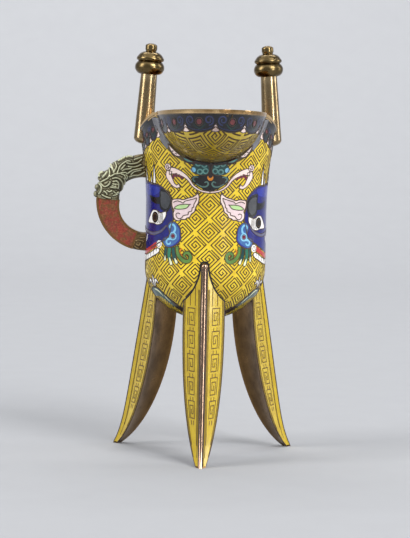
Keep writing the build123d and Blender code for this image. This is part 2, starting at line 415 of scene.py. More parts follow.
def summed(tree, first, second, kind="ADD"):
    node = tree.nodes.new("ShaderNodeMath")
    node.operation = kind
    feed(tree, first, node.inputs[0])
    feed(tree, second, node.inputs[1])
    return node.outputs["Value"]


def times(tree, first, second):
    return summed(tree, first, second, "MULTIPLY")


def objectPlace(tree):
    return tree.nodes.new("ShaderNodeTexCoord").outputs["Object"]


def noise(tree, place, scale, detail, roughness=0.5):
    node = tree.nodes.new("ShaderNodeTexNoise")
    values = {"Vector": place, "Scale": scale, "Detail": detail, "Roughness": roughness}
    for label, value in values.items():
        feed(tree, value, node.inputs[label])
    return node.outputs["Fac"]


def newGroup(name, inputs):
    tree = bpy.data.node_groups.new(name, "ShaderNodeTree")
    for label, default in inputs.items():
        kind = "NodeSocketFloat" if isinstance(default, float) else "NodeSocketColor"
        tree.interface.new_socket(label, in_out="INPUT", socket_type=kind).default_value = default
    return tree, tree.nodes.new("NodeGroupInput").outputs


def closeGroup(tree, colour, rough, height):
    made = {"Color": colour, "Roughness": rough, "Height": height}
    for label in made:
        kind = "NodeSocketColor" if label == "Color" else "NodeSocketFloat"
        tree.interface.new_socket(label, in_out="OUTPUT", socket_type=kind)
    result = tree.nodes.new("NodeGroupOutput")
    for label, socket in made.items():
        tree.links.new(socket, result.inputs[label])
    return tree


def enamelGroup():  # fired glass: cloudy tone, specks and pinholes
    inputs = {"Tint": (0.5, 0.4, 0.1, 1), "Shade": (0.3, 0.2, 0.1, 1), "Pits": 0.5}
    tree, given = newGroup("firedGlass", inputs)
    place = objectPlace(tree)
    cloud = noise(tree, place, 210.0, 4.0, 0.6)
    grain = noise(tree, place, 1500.0, 2.0)
    holes = tree.nodes.new("ShaderNodeTexVoronoi")
    feed(tree, place, holes.inputs["Vector"])
    feed(tree, 620.0, holes.inputs["Scale"])
    haze = ranged(tree, cloud, 0.36, 0.68)
    fine = ranged(tree, grain, 0.45, 0.75, 0.0, 0.35)
    pinhole = times(tree, ranged(tree, holes.outputs["Distance"], 0.05, 0.13, 1.0, 0.0), given["Pits"])
    colour = mixed(tree, haze, given["Tint"], given["Shade"])
    colour = mixed(tree, fine, colour, given["Shade"])
    colour = mixed(tree, times(tree, pinhole, 0.7), colour, (0.05, 0.035, 0.02, 1.0))
    rough = summed(tree, ranged(tree, haze, 0.0, 1.0, 0.16, 0.27), times(tree, pinhole, 0.3))
    height = summed(tree, times(tree, cloud, 0.5), pinhole, "SUBTRACT")
    return closeGroup(tree, colour, rough, height)


def patinaGroup():  # handled bronze: brown bloom, rubbed edges, hairline scratches
    inputs = {
        "Metal": (0.5, 0.3, 0.1, 1),
        "Bloom": (0.2, 0.1, 0.05, 1),
        "Rubbed": (0.8, 0.6, 0.3, 1),
        "Cover": 0.5,
        "Polish": 0.25,
        "Wear": 1.0,
    }
    tree, given = newGroup("handledBronze", inputs)
    place = objectPlace(tree)
    stretch = tree.nodes.new("ShaderNodeMapping")
    feed(tree, place, stretch.inputs["Vector"])
    feed(tree, (1.0, 1.0, 0.06), stretch.inputs["Scale"])
    cloud = noise(tree, place, 120.0, 6.0, 0.62)
    grain = noise(tree, place, 1300.0, 3.0)
    scratch = noise(tree, stretch.outputs["Vector"], 1900.0, 2.0)
    edge = ranged(tree, tree.nodes.new("ShaderNodeNewGeometry").outputs["Pointiness"], 0.51, 0.56)
    bloom = times(tree, ranged(tree, cloud, 0.38, 0.66), given["Cover"])
    speck = times(tree, ranged(tree, grain, 0.56, 0.74, 0.0, 0.5), given["Cover"])
    colour = mixed(tree, bloom, given["Metal"], given["Bloom"])
    colour = mixed(tree, speck, colour, given["Bloom"])
    colour = mixed(tree, times(tree, edge, 0.7), colour, given["Rubbed"])
    hairline = times(tree, ranged(tree, scratch, 0.4, 0.7, 0.0, 0.1), given["Wear"])
    rough = summed(tree, summed(tree, times(tree, bloom, 0.22), given["Polish"]), hairline)
    height = times(tree, summed(tree, scratch, times(tree, grain, 0.6)), given["Wear"])
    return closeGroup(tree, colour, rough, height)


firedGlass = enamelGroup()
handledBronze = patinaGroup()


def dressed(name, group, values, metallic, bumpStrength, bumpDistance, coat=0.0):
    material = bpy.data.materials.new(name)
    material.use_nodes = True
    tree = material.node_tree
    shader = tree.nodes["Principled BSDF"]
    effect = tree.nodes.new("ShaderNodeGroup")
    effect.node_tree = group
    for label, value in values.items():
        effect.inputs[label].default_value = value
    bump = tree.nodes.new("ShaderNodeBump")
    bump.inputs["Strength"].default_value = bumpStrength
    bump.inputs["Distance"].default_value = bumpDistance
    tree.links.new(effect.outputs["Color"], shader.inputs["Base Color"])
    tree.links.new(effect.outputs["Roughness"], shader.inputs["Roughness"])
    tree.links.new(effect.outputs["Height"], bump.inputs["Height"])
    tree.links.new(bump.outputs["Normal"], shader.inputs["Normal"])
    shader.inputs["Metallic"].default_value = metallic
    shader.inputs["Coat Weight"].default_value = coat
    shader.inputs["Coat Roughness"].default_value = 0.08
    return material


def enamel(name, tint, shade, pits):
    values = {"Tint": tone(*tint), "Shade": tone(*shade), "Pits": pits}
    return dressed(name + "Enamel", firedGlass, values, 0.0, 0.12, 0.0002, coat=0.25)


def bronze(name, metal, bloom, rubbed, cover, polish, wear=1.0, metallic=1.0):
    values = {
        "Metal": tone(*metal),
        "Bloom": tone(*bloom),
        "Rubbed": tone(*rubbed),
        "Cover": cover,
        "Polish": polish,
        "Wear": wear,
    }
    return dressed(name, handledBronze, values, metallic, 0.08, 0.0001)


glasses = {  # tint, shade and strength of the pinholes
    "yellow": ((232, 204, 52), (210, 176, 36), 0.5),
    "legYellow": ((202, 174, 42), (182, 152, 32), 0.5),
    "cobalt": ((30, 34, 124), (18, 18, 84), 0.2),
    "royal": ((44, 56, 156), (32, 38, 124), 0.2),
    "navy": ((14, 13, 20), (9, 9, 13), 0.3),
    "paleBlue": ((142, 200, 226), (108, 172, 208), 0.2),
    "slate": ((40, 47, 84), (30, 35, 62), 0.3),
    "azure": ((72, 112, 166), (52, 84, 140), 0.3),
    "jade": ((48, 122, 92), (34, 96, 76), 0.3),
    # painted highlight: pale grey for the upper sides of the crease fillet
    "sheenGrey": ((122, 122, 126), (90, 90, 94), 0.3),
    "dove": ((104, 106, 134), (82, 84, 112), 0.3),
    # partly painted shade: olive for the crease fillet below the spout
    "bark": ((96, 84, 40), (70, 60, 30), 0.3),
    "white": ((252, 250, 246), (240, 236, 230), 0.4),
    "pink": ((242, 222, 214), (228, 202, 196), 0.5),
    "rose": ((226, 206, 206), (210, 184, 188), 0.5),
    "leaf": ((186, 218, 156), (160, 196, 130), 0.3),
    "teal": ((30, 78, 76), (20, 56, 56), 0.3),
    "sea": ((106, 158, 150), (72, 124, 122), 0.3),
    "moss": ((104, 140, 62), (74, 112, 58), 0.3),
    "cream": ((232, 232, 196), (206, 214, 178), 0.3),
    "black": ((20, 20, 22), (12, 12, 14), 0.2),
    "grey": ((74, 76, 80), (52, 54, 58), 0.5),
    "red": ((188, 52, 46), (156, 38, 38), 0.4),
    "maroon": ((118, 44, 62), (88, 30, 46), 0.3),
    "plum": ((112, 52, 52), (82, 38, 42), 0.3),
    "pine": ((24, 50, 46), (18, 38, 36), 0.3),
    "lichen": ((88, 120, 112), (60, 90, 86), 0.3),
    "orange": ((218, 138, 32), (186, 104, 26), 0.3),
    "umber": ((46, 32, 26), (30, 22, 20), 0.3),
}
enamels = {name: enamel(name, *values) for name, values in glasses.items()}
wireGilt = bronze("wireGilt", (58, 40, 2), (42, 29, 2), (80, 58, 8), 0.6, 0.5, metallic=0.1)
legGilt = bronze("legGilt", (88, 66, 10), (70, 52, 8), (100, 78, 18), 0.6, 0.5, metallic=0.1)
wireDark = bronze("wireDark", (50, 38, 32), (32, 25, 22), (78, 62, 48), 0.6, 0.5, metallic=0.1)
alloys = {  # metal, brown bloom, rubbed edges, cover of bloom, polish and wear
    "gildedWall": ((186, 140, 72), (120, 84, 40), (230, 190, 120), 0.7, 0.3),
    "rimGilt": ((222, 180, 124), (88, 60, 30), (234, 202, 150), 0.8, 0.07, 0.3),
    "postBronze": ((164, 142, 106), (108, 90, 62), (184, 162, 124), 0.6, 0.16, 0.4),
    "beadBronze": ((118, 100, 66), (72, 60, 38), (150, 130, 90), 0.7, 0.16, 0.4),
    "legBronze": ((122, 92, 52), (78, 58, 32), (140, 108, 66), 0.7, 0.26),
    "ridgeBronze": ((156, 130, 110), (108, 88, 72), (160, 134, 114), 0.3, 0.13, 0.06),
    "edgeBronze": ((96, 74, 48), (64, 50, 32), (104, 82, 54), 0.5, 0.28, 0.3),
    "handleBronze": ((88, 60, 36), (50, 36, 24), (150, 112, 70), 0.8, 0.32),
    "beastBronze": ((128, 112, 72), (70, 64, 42), (190, 180, 140), 0.7, 0.34),
}
metals = {name: bronze(name, *values) for name, values in alloys.items()}


def surface(material):  # its tree, its colour input and the colour that feeds it
    socket = material.node_tree.nodes["Principled BSDF"].inputs["Base Color"]
    return material.node_tree, socket, socket.links[0].from_socket


def shadedGroundEnamel(material):  # painted shade: the downward-facing underside of spout and tail is darkened towards brown
    tree, socket, baseColour = surface(material)
    facing, spot = tree.nodes.new("ShaderNodeSeparateXYZ"), tree.nodes.new("ShaderNodeSeparateXYZ")
    tree.links.new(tree.nodes.new("ShaderNodeNewGeometry").outputs["Normal"], facing.inputs["Vector"])
    tree.links.new(objectPlace(tree), spot.inputs["Vector"])
    under = ranged(tree, facing.outputs["Z"], -0.25, -0.85, 0.0, 0.6)
    high = ranged(tree, spot.outputs["Z"], 0.114, 0.124)
    # painted shade: the yellow is mixed towards dark brown where the surface faces down, high on the cup
    tree.links.new(mixed(tree, times(tree, under, high), baseColour, tone(96, 74, 20)), socket)
    return material


def mottledEnamel(material):  # the handle's enamel is worn through to olive brown in patches
    tree, socket, baseColour = surface(material)
    place = objectPlace(tree)
    patch = noise(tree, place, 430.0, 4.0, 0.7)
    grain = noise(tree, place, 1500.0, 3.0)
    brown = ranged(tree, patch, 0.46, 0.58, 0.0, 0.85)
    dark = ranged(tree, grain, 0.5, 0.68, 0.0, 0.6)
    pale = ranged(tree, grain, 0.32, 0.46, 0.45, 0.0)
    colour = mixed(tree, brown, baseColour, tone(112, 76, 38))
    colour = mixed(tree, dark, colour, tone(80, 46, 28))
    tree.links.new(mixed(tree, pale, colour, tone(164, 100, 72)), socket)
    return material


metalOf = {
    "vessel_body": "gildedWall",
    "rim_band": "rimGilt",
    "handle_loop": "handleBronze",
    "handle_lower_mount": "handleBronze",
    "handle_beast_head": "beastBronze",
}
handleEnamel = mottledEnamel(enamel("handle", (148, 54, 38), (128, 50, 36), 0.6))
for name, node in nodes.items():
    if name in metalOf:
        material = metals[metalOf[name]]
    elif name.endswith(("bead", "cap", "finial")):
        material = metals["beadBronze"]
    elif "post" in name:
        material = metals["postBronze"]
    elif name.endswith("ridge"):
        material = metals["ridgeBronze" if name.startswith("front") else "edgeBronze"]
    elif name == "body_enamel":
        material = shadedGroundEnamel(enamels["yellow"])
    elif name.startswith("handle") and name.endswith("enamel"):
        material = handleEnamel
    elif name.endswith("enamel"):
        material = enamels["legYellow"]
    else:
        material = metals["legBronze"]
    node.data.materials.clear()
    node.data.materials.append(material)
print("metals and enamels ready,", len(enamels), "enamels")

# key-fret ground: a square spiral in each diamond of a slanting lattice
ground = {
    "around": 14,
    "pitch": 11.3,  # height of a diamond
    "middle": 107.2,  # height of one diamond in the front column
    "lowest": 44.0,
    "sides": 12,
    "first": 0.08,  # share of the diamond's half width, for the innermost and outermost side
    "last": 0.88,
    "spurCorner": 9,  # corner of the spiral that the spur joins
    "wire": 0.47,
    "lift": 0.06,
    "sink": -0.12,
    "step": 1.2,
    "clear": 0.3,  # gap to the crease
    "rimGap": 3.0,
    "keelHalf": 5.6,  # under the spout and the tail: half width, shift, reach and start
    "keelShift": 1.5,
    "keelReach": 0.93,
    "keelStart": 20.0,
}


def squareSpiral(sides, first, last):  # corners of a square spiral from -1 to 1, from its middle outwards
    walls = [first + (last - first) * i / (sides - 1) for i in range(sides)]
    compass = [(1, 0), (0, -1), (-1, 0), (0, 1)]
    corners = [(walls[0], walls[0])]
    for i in range(sides):
        (a, b), (c, d) = compass[i % 4], compass[(i + 1) % 4]
        stop = walls[i + 1] if i + 1 < sides else 0.75 * last  # the last side stops short
        corners.append((a * walls[i] + c * stop, b * walls[i] + d * stop))
    return corners


spiral = squareSpiral(ground["sides"], ground["first"], ground["last"])
cornerA, cornerB = spiral[ground["spurCorner"]]
spiralSpur = [(ground["last"], 0.6 * ground["last"]), (ground["last"], cornerB), (cornerA, cornerB)]


def diamond(cells, u, v, halfU, chart, keep):
    halfV = ground["pitch"] / 2
    for corners in (spiral, spiralSpur):
        path = [(u + (a - b) / 2 * halfU, v + (a + b) / 2 * halfV) for a, b in corners]
        run = []
        for spot in spaced(path, ground["step"]) + [None]:
            if spot is not None and keep(*spot):
                run.append(spot)
            else:
                if len(run) > 2:
                    addRibbon(cells, run, chart, ground["wire"], ground["sink"], ground["lift"], step=9.0)
                run = []


def onWall(u, v):
    turn = u / cup["radius"]
    x, y = cup["mouth"] * math.sin(turn), -cup["mouth"] * math.cos(turn)
    top = rimHeight(y) - ground["rimGap"]
    arm = spout if y < 0 else tail
    if y and abs(x) < arm["radius"]:
        top = min(top, arm["level"] - math.sqrt(arm["radius"] ** 2 - x**2) - ground["clear"])
    return v < top


def rowHeight(row, column):  # every other column sits half a diamond further on
    return ground["pitch"] * (row + (0.5 if column % 2 else 0.0))


groundCells = newCells()
columnStep = math.pi * cup["radius"] / ground["around"]
for column in range(-ground["around"], ground["around"]):
    for row in range(-4, 6):
        v = ground["middle"] - rowHeight(row, column)
        if v >= ground["lowest"]:
            diamond(groundCells, column * columnStep, v, columnStep, cupChart, onWall)
keels = ((spoutRadius, spout["level"], range(-6, -1)), (tailRadius, tail["level"], range(2, 6)))
for radiusAt, level, lines in keels:
    chart = keelChart(radiusAt, level)
    onKeel = lambda u, y: abs(u) < ground["keelReach"] * radiusAt(y) and abs(y) > ground["keelStart"]
    for row in lines:
        for column in range(-3, 4):
            v = rowHeight(row, column) + ground["keelShift"]
            diamond(groundCells, column * ground["keelHalf"], v, ground["keelHalf"], chart, onKeel)
addPiece("ground_fret_wires", groundCells, wireGilt)
print("fret ground,", len(groundCells["faces"]), "faces")

# colour cells are gathered by enamel, one piece for each
cells = {}
levels = {"base": 0.09, "second": 0.13, "third": 0.17, "wire": 0.2}
motifWires = newCells()
lineWires = newCells()


def gathered(colour):
    return cells.setdefault(colour, newCells())


def fill(colour, outline, chart, level="base", gap=1.4):
    addTile(gathered(colour), outline, chart, -0.15, levels[level], gap)


def line(path, chart, width=0.42, closed=False, wires=motifWires):
    addRibbon(wires, path, chart, width, -0.1, levels["wire"], closed, 1.0)


def cell(colour, outline, chart, level="base", width=0.36, wires=motifWires):  # with a wire round it
    fill(colour, outline, chart, level)
    line(outline, chart, width, True, wires)


# the two big masks, drawn as half a face from its middle line
mask = {
    "face": [(-0.05, 116.6), (5, 116.2), (11.4, 115.5), (15.7, 115.0), (19.3, 113.5), (22.9, 110.3),
             (23.7, 105.5), (24.3, 103.6), (24.4, 100.6), (23.4, 97.5), (22.8, 94.6), (21.4, 92.6),
             (19.2, 91.6), (16.8, 90.6), (13.2, 89.0), (7, 86.9), (-0.05, 86.0)],
    # lighter patch at the top of the face, a painted highlight
    "forehead": [(3, 115.4), (8, 115.1), (14, 114.2), (17.2, 113.4), (16, 111.4), (11.5, 110.2),
                 (6.5, 110.6), (3, 111.6)],
    "brow": [(17.4, 112.6), (20.6, 112.2), (22.6, 110.5), (23.2, 108.8), (22.6, 106.5), (21.3, 104.6),
             (19.6, 104.6), (17.7, 105.7), (17.1, 108.3), (17.3, 110.8)],
    "eye": [(7.5, 98.9), (9.8, 102.3), (12.0, 104.1), (14.9, 104.1), (17.0, 103.2), (18.9, 103.5),
            (20.8, 104.1), (20.8, 104.1), (20.7, 102.1), (19.7, 100.5), (18.3, 98.9), (15.5, 98.1),
            (12.7, 98.6)],
    "pupil": (13.7, 101.2, 2.4),
    "folds": ((3.0, 60), (3.8, 40), (4.5, 30), (5.2, 22)),  # radius and half angle, beside the pupil
    "browTail": [(17.8, 108.4), (14.8, 108.2), (11.8, 108.6), (8.8, 110.0)],
    "ear": [(23.8, 108.8), (25.6, 109.3), (27.3, 109.4), (28.9, 109.1), (31.1, 109.8), (33.4, 110.5),
            (35.3, 112.0), (35.3, 112.0), (35.8, 110.7), (35.7, 108.7), (35.2, 107.4), (34.5, 106.1),
            (34.0, 104.3), (32.7, 103.3), (32.0, 102.0), (30.7, 101.5), (29.9, 100.9), (28.5, 100.9),
            (27.2, 100.3), (25.7, 100.5), (24.7, 101.5), (24.2, 103.0), (24.8, 104.5), (23.8, 106.3)],
    "earLine": [(24.4, 107.8), (26.2, 108.5), (27.9, 108.2), (29.0, 107.7), (29.8, 108.5), (31.9, 109.1),
                (33.7, 109.6), (34.7, 110.0), (34.5, 108.9), (33.7, 107.3), (33.6, 106.2), (33.0, 105.9),
                (32.7, 104.5), (31.4, 104.0), (31.2, 103.0), (29.9, 102.7), (29.1, 102.4), (28.5, 101.6),
                (27.4, 101.1), (26.3, 101.6), (25.8, 102.8), (26.7, 103.5), (27.7, 103.1)],
    "leaf": [(25.0, 105.5), (26.7, 106.7), (29.5, 107.2), (31.9, 107.2), (31.9, 107.2), (30.6, 105.7),
             (28.5, 105.2), (26.2, 105.1)],
    "cheek": [(24.0, 99.9), (26.3, 99.0), (27.8, 97.1), (28.1, 94.6), (28.2, 92.6), (26.8, 90.7),
              (24.8, 89.6), (22.6, 89.0), (20.3, 89.6), (19.2, 91.4), (19.9, 92.7), (21.6, 93.3),
              (22.5, 93.8), (22.8, 95.3), (22.1, 96.8), (21.9, 98.3)],
    "cheekEdge": [(26.3, 98.6), (27.6, 96.8), (27.8, 94.4), (27.7, 92.6), (26.4, 91.0), (24.6, 89.9),
                  (22.6, 89.3)],
    "cheekScrolls": (
        ([(23.1, 97.0), (22.9, 97.9), (23.7, 98.6), (24.8, 98.4), (25.5, 97.4), (25.4, 96.2),
          (24.8, 95.2)], (0.5, 0.9, 1.0)),
        ([(24.0, 92.6), (22.9, 92.6), (21.6, 92.2), (21.2, 91.2), (21.8, 90.4), (23.0, 90.5),
          (23.3, 91.3)], (1.0, 0.9, 0.5)),
    ),
    "cheekDot": (24.5, 93.8, 0.85),
    "wave": [(0, 96.4), (3.6, 95.3), (7.3, 94.8), (11.0, 94.3), (13.8, 94.4), (18.0, 95.6), (21.1, 98.0)],
    "fang": [(6.5, 93.7), (5.4, 92.0), (4.5, 90.7)],
    "lip": [(-0.05, 87.3), (5, 87.5), (10.3, 88.9), (14.3, 90.7), (16.2, 90.4), (15.8, 89.2),
            (10.9, 87.2), (5, 85.3), (-0.05, 84.8)],
    "teeth": [(-0.05, 84.8), (5.5, 85.0), (10.5, 86.3), (15.3, 88.2), (17.0, 88.0), (16.6, 86.5),
              (12.9, 84.9), (7.5, 83.2), (-0.05, 82.1)],
    "toothLines": (2.4, 5.0, 7.6, 10.2, 12.8, 15.0),
    "mouthCurl": (16.8, 90.2, 1.7),
    "strands": [
        ("teal", [(21.2, 88.9), (20.7, 86.1), (20.6, 83.3)], (1.6, 1.5, 1.0)),
        ("jade", [(23.0, 88.9), (22.7, 85.5), (24.1, 81.7)], (2.0, 1.9, 1.3)),
        ("teal", [(24.8, 89.2), (25.3, 85.3), (26.7, 82.4)], (2.0, 1.9, 1.3)),
    ],
    "paleTip": 0.4,  # share of a strand
    "beardCurl": [(26.5, 89.7), (26.7, 87.2), (28.3, 84.7), (30.3, 83.5), (32.1, 83.9), (32.6, 85.7),
                  (31.5, 87.1), (30.2, 86.8), (29.9, 85.6), (31.0, 84.8)],
    "beardLine": [(28.6, 88.9), (27.9, 87.0), (29.0, 85.8)],
    "spikes": [(13.3, 115.0, 13.7, 124.0, 2.3), (10.9, 115.0, 11.2, 120.2, 1.5),
               (6.0, 115.2, 5.9, 124.2, 2.2)],
    "rightHand": {"eye": (1.4, -1.7), "brow": (-0.3, -1.8), "mouth": (1.4, -1.2)},  # moves on the right
    "stillUntil": 6.0,  # the moves grow from nothing at the middle line
    "chin": (82.0, 0.0195),  # height of the teeth's lower edge, and its rise
}


def nudged(chart, shift):
    def moved(u, v):
        share = min(1.0, max(0.0, u) / mask["stillUntil"])
        return chart(u + shift[0] * share, v + shift[1] * share)
    return moved


def drawEye(chart):
    cell("white", smooth(mask["eye"]), chart, "second")
    u, v, radius = mask["pupil"]
    fill("black", disc(u, v, radius), chart, "third")
    line(disc(u, v, 0.62 * radius), chart, 0.3, True, lineWires)
    for reach, half in mask["folds"]:
        turns = [math.radians(half * k / 3) for k in range(-3, 4)]
        line([(u + reach * math.cos(turn), v + reach * math.sin(turn)) for turn in turns], chart, 0.26)


def drawEar(chart):
    cell("pink", smooth(mask["ear"]), chart, "base", 0.4)
    fill("rose", smooth(mask["earLine"][:-2]), chart, "second")
    line(smooth(mask["earLine"], closed=False), chart, 0.36)
    cell("leaf", smooth(mask["leaf"]), chart, "third")


def drawCheek(chart):
    cell("azure", smooth(mask["cheek"]), chart, "second")
    fill("royal", blade(mask["cheekEdge"], (0.2, 0.5, 0.5, 0.2)), chart, "third")
    u, v, radius = mask["cheekDot"]
    fill("paleBlue", disc(u, v, 2.1 * radius), chart, "third")
    for path, widths in mask["cheekScrolls"]:
        fill("paleBlue", blade(path, widths), chart, "third")
    line(disc(u, v, 1.3 * radius), chart, 0.24, True)
    fill("maroon", disc(u, v, radius), chart, "wire")


def drawMouth(chart):
    fill("red", smooth(mask["lip"]), chart, "second")
    fill("white", smooth(mask["teeth"]), chart, "second")
    line(smooth(mask["teeth"])[1:-6], chart, 0.34)
    low, rise = mask["chin"]
    for u in mask["toothLines"]:
        v = low + rise * u**2
        line([(u, v + 0.5), (u + 0.3, v + 2.2)], chart, 0.26)
    fill("white", disc(*mask["mouthCurl"]), chart, "third")
    line(curl(*mask["mouthCurl"], 1.4, 1.0), chart, 0.3)


def drawBeard(chart):
    for colour, path, widths in mask["strands"]:
        cell(colour, blade(path, widths), chart, "second", 0.24, lineWires)
        middle = smooth(path, closed=False)
        tip = middle[int(len(middle) * (1 - mask["paleTip"])):]
        fill("cream", blade(tip, (0.2, 0.9 * widths[-1], 0.8 * widths[-1])), chart, "third")
    cell("moss", blade(mask["beardCurl"], (1.8, 1.8, 1.6, 1.4, 0.8)), chart, "base", 0.26, lineWires)
    fill("orange", blade(mask["beardLine"], (0.5, 0.6, 0.3)), chart, "second")


def drawMask(chart, shifts):
    parts = ("eye", "brow", "mouth")
    eyeChart, browChart, mouthChart = (nudged(chart, shifts.get(part, (0, 0))) for part in parts)
    fill("cobalt", smooth(mask["face"]), chart)
    line(smooth(mask["face"])[2:-12], chart, 0.45)
    # painted highlight: a lighter blue patch over the top of the face
    fill("royal", smooth(mask["forehead"]), chart, "second")
    cell("dove", blade(mask["wave"], (1.1, 1.2, 1.2, 0.6)), chart, "second", 0.24)
    fill("white", blade(mask["fang"], (0.5, 1.1, 0.3)), chart, "second")
    drawEye(eyeChart)
    fill("black", blade(mask["browTail"], (3.2, 2.8, 2.4, 0.8)), browChart, "second")
    fill("black", shrunk(smooth(mask["brow"]), 1.2), browChart, "second")
    fill("grey", shrunk(smooth(mask["brow"]), 0.88), browChart, "third")
    drawEar(chart)
    drawCheek(chart)
    drawMouth(mouthChart)
    drawBeard(chart)
    for u, v, tipU, tipV, width in mask["spikes"]:
        outline = [(u - width / 2, v), (u + width / 2, v), (tipU + 0.1, tipV), (tipU - 0.1, tipV)]
        cell("white", outline, chart, "base", 0.34)


# wave band with trefoils round the bowl's bottom, for half a mask; heights are the real ones
hem = {
    "edge": [(4.6, 67.4, 0.1), (5.4, 69.2, 2.0), (6.8, 70.6, 3.2), (8.8, 71.5, 3.9), (11.4, 71.9, 4.2),
             (13.4, 71.6, 4.2), (15.6, 70.4, 4.2), (17.6, 68.6, 4.2), (19.4, 66.9, 4.2),
             (22.0, 64.6, 4.2), (25.5, 62.8, 4.2), (30.0, 61.7, 4.2)],
    "parts": (("teal", 0, 9), ("umber", 8, 12)),
    "floor": 58.4,
    # painted highlights: cream glints on the teal band
    "paintedGlints": (([(10.2, 70.7), (12.2, 70.6), (14.2, 69.6), (15.4, 68.0)], (0.2, 0.7, 0.8, 0.2)),
              ([(16.4, 68.4), (17.4, 67.2), (18.6, 65.6)], (0.2, 0.6, 0.2))),
    "petals": (([(11.9, 71.6), (12.1, 74.4), (12.3, 77.4)], (0.5, 1.6, 0.2)),
               ([(11.4, 71.6), (9.4, 74.6), (7.6, 73.0)], (0.5, 1.4, 0.6)),
               ([(12.4, 71.6), (13.9, 74.8), (15.6, 73.6)], (0.5, 1.4, 0.6))),
}


def drawHem(chart):
    bowl = lambda u, height: chart(u, lowered(height))
    for colour, first, last in hem["parts"]:
        edge = hem["edge"][first:last]
        upper = [(u, height) for u, height, _ in edge]
        lower = [(u, max(hem["floor"], height - deep)) for u, height, deep in reversed(edge)]
        fill(colour, upper + lower, bowl, gap=0.8)
        line(upper, bowl, 0.36)
    # painted highlight: cream glints laid on the teal band
    for path, widths in hem["paintedGlints"]:
        fill("cream", blade(path, widths), bowl, "second")
    for path, widths in hem["petals"]:
        cell("white", blade(path, widths), bowl, "base", 0.26)


for side in (-1, 1):
    for half in (1, -1):
        drawMask(maskChart(side, half), mask["rightHand"] if side > 0 else {})
        drawHem(maskChart(side, half))
print("masks drawn")

# front motif under the spout, drawn as its left half and mirrored; the back under the tail repeats it
front = {
    "ribbon": [(-17.6, 120.9), (-15.4, 121.0), (-12.6, 120.2), (-10.4, 119.0), (-8.7, 117.4),
               (-6.8, 114.9), (-3.6, 113.0), (0.05, 112.4)],
    "ribbonWidths": (3.0, 2.6, 2.0, 1.5, 1.1, 0.9, 0.8, 0.8),
    "hook": [(-17.5, 121.0), (-18.0, 119.0), (-16.9, 116.9), (-15.6, 115.2), (-14.2, 114.5),
             (-12.8, 115.0)],
    "hookWidths": (2.6, 2.9, 2.2, 1.5, 1.2, 1.7),
    "head": (-18.2, 122.5, 1.5),
    "purple": [(-16.0, 117.6), (-15.2, 119.2), (-13.4, 119.2), (-11.2, 117.9)],
    "panel": [(-7.4, 118.7), (-5.1, 119.3), (-2.2, 119.7), (0.05, 119.7), (0.05, 113.2), (-2.6, 113.6),
              (-5.2, 115.0), (-7.3, 116.7)],
    "cluster": [(-0.5, 121.9), (-1.0, 124.2), (-3.2, 125.7), (-5.4, 125.2), (-6.8, 123.7), (-7.6, 122.0),
                (-6.6, 120.3), (-4.6, 119.7), (-2.6, 119.5), (-1.0, 120.3)],
    "lobes": [(-1.9, 121.2), (-2.5, 123.8), (-4.9, 124.3), (-4.2, 120.9)],
    "pale": (-6.9, 121.6, 1.05),
    "scrolls": [
        [(-4.9, 118.6), (-6.3, 118.7), (-7.0, 117.7), (-6.2, 116.7)],
        [(-5.6, 115.9), (-3.6, 114.8), (-1.7, 114.8), (-0.8, 115.8), (-1.3, 116.8), (-2.3, 116.4)],
    ],
    "nose": [(-1.0, 119.4), (1.0, 119.4), (0.7, 122.0), (1.3, 125.0), (-1.3, 125.0), (-0.7, 122.0)],
    "nostril": (0.0, 118.5, 1.25),
    "nostrilTop": (0.0, 119.3, 0.9),
}


def drawFront(chart):
    fill("black", smooth(front["panel"]), chart)
    for path in front["scrolls"]:
        fill("lichen", blade(path, (0.4, 0.65, 0.65, 0.4)), chart, "second")
    cell("teal", smooth(front["cluster"]), chart, "second")
    for u, v in front["lobes"]:
        fill("sea", disc(u, v, 1.25, 16), chart, "third")
        fill("teal", disc(u, v, 0.7, 12), chart, "wire")
    fill("paleBlue", disc(*front["pale"], 14), chart, "third")
    cell("pink", blade(front["hook"], front["hookWidths"]), chart, "base", 0.32)
    fill("maroon", blade(front["purple"], (0.6, 1.5, 1.5, 0.4)), chart, "second")
    cell("pink", blade(front["ribbon"], front["ribbonWidths"]), chart, "second", 0.32)
    cell("pink", disc(*front["head"]), chart, "third", 0.32)
    line(curl(front["head"][0], front["head"][1], 0.9, 1.2, 1.0), chart, 0.36)


for middle in (0.0, math.pi * cup["radius"]):
    for hand in (1, -1):
        drawFront(lambda u, v: cupChart(middle + hand * u, v))
    chart = lambda u, v: cupChart(middle + u, v)
    fill("umber", front["nose"], chart)
    fill("orange", disc(*front["nostril"], 16), chart, "third")
    fill("umber", disc(*front["nostrilTop"], 14), chart, "wire")


# enamel that gathers in the crease between spout and cup, as a hollow fillet; pale grey on the upper sides is
# a painted highlight, and olive and dark brown lower down are partly dark enamel and partly painted shade
crease = {
    "stretches": ((-22.0, -16.5, "sheenGrey"), (-16.5, -10.0, "bark"), (-10.0, 10.0, "umber"),
                  (10.0, 16.5, "bark"), (16.5, 22.0, "sheenGrey")),
    "foot": 1.8,  # reach on both walls under the spout, and beside the rim
    "head": 3.4,
    "lift": 0.1,
    "sink": 0.4,
    "step": 0.8,
    "bow": 6,
    "across": 4.0,  # mm that stand for the way across, for the petals on it
    "petals": (
        ("pink", ([(16.8, 2.0), (15.2, 2.6), (13.4, 2.9), (11.8, 2.5)], (0.3, 1.5, 1.7, 0.4)),
         ([(15.6, 2.5), (14.5, 2.8), (13.0, 2.8)], (0.3, 0.9, 0.3)), "umber"),
        ("sea", ([(10.8, 2.6), (9.0, 2.8), (6.8, 2.6)], (0.6, 1.5, 0.5)),
         ([(9.8, 2.6), (8.8, 2.8), (7.8, 2.6)], (0.3, 0.7, 0.3)), "teal"),
    ),
}


def creasePoint(x):
    height = spout["level"] - math.sqrt(spout["radius"] ** 2 - x**2)
    return Vector((x, -math.sqrt(cupRadius(height) ** 2 - x**2), height))


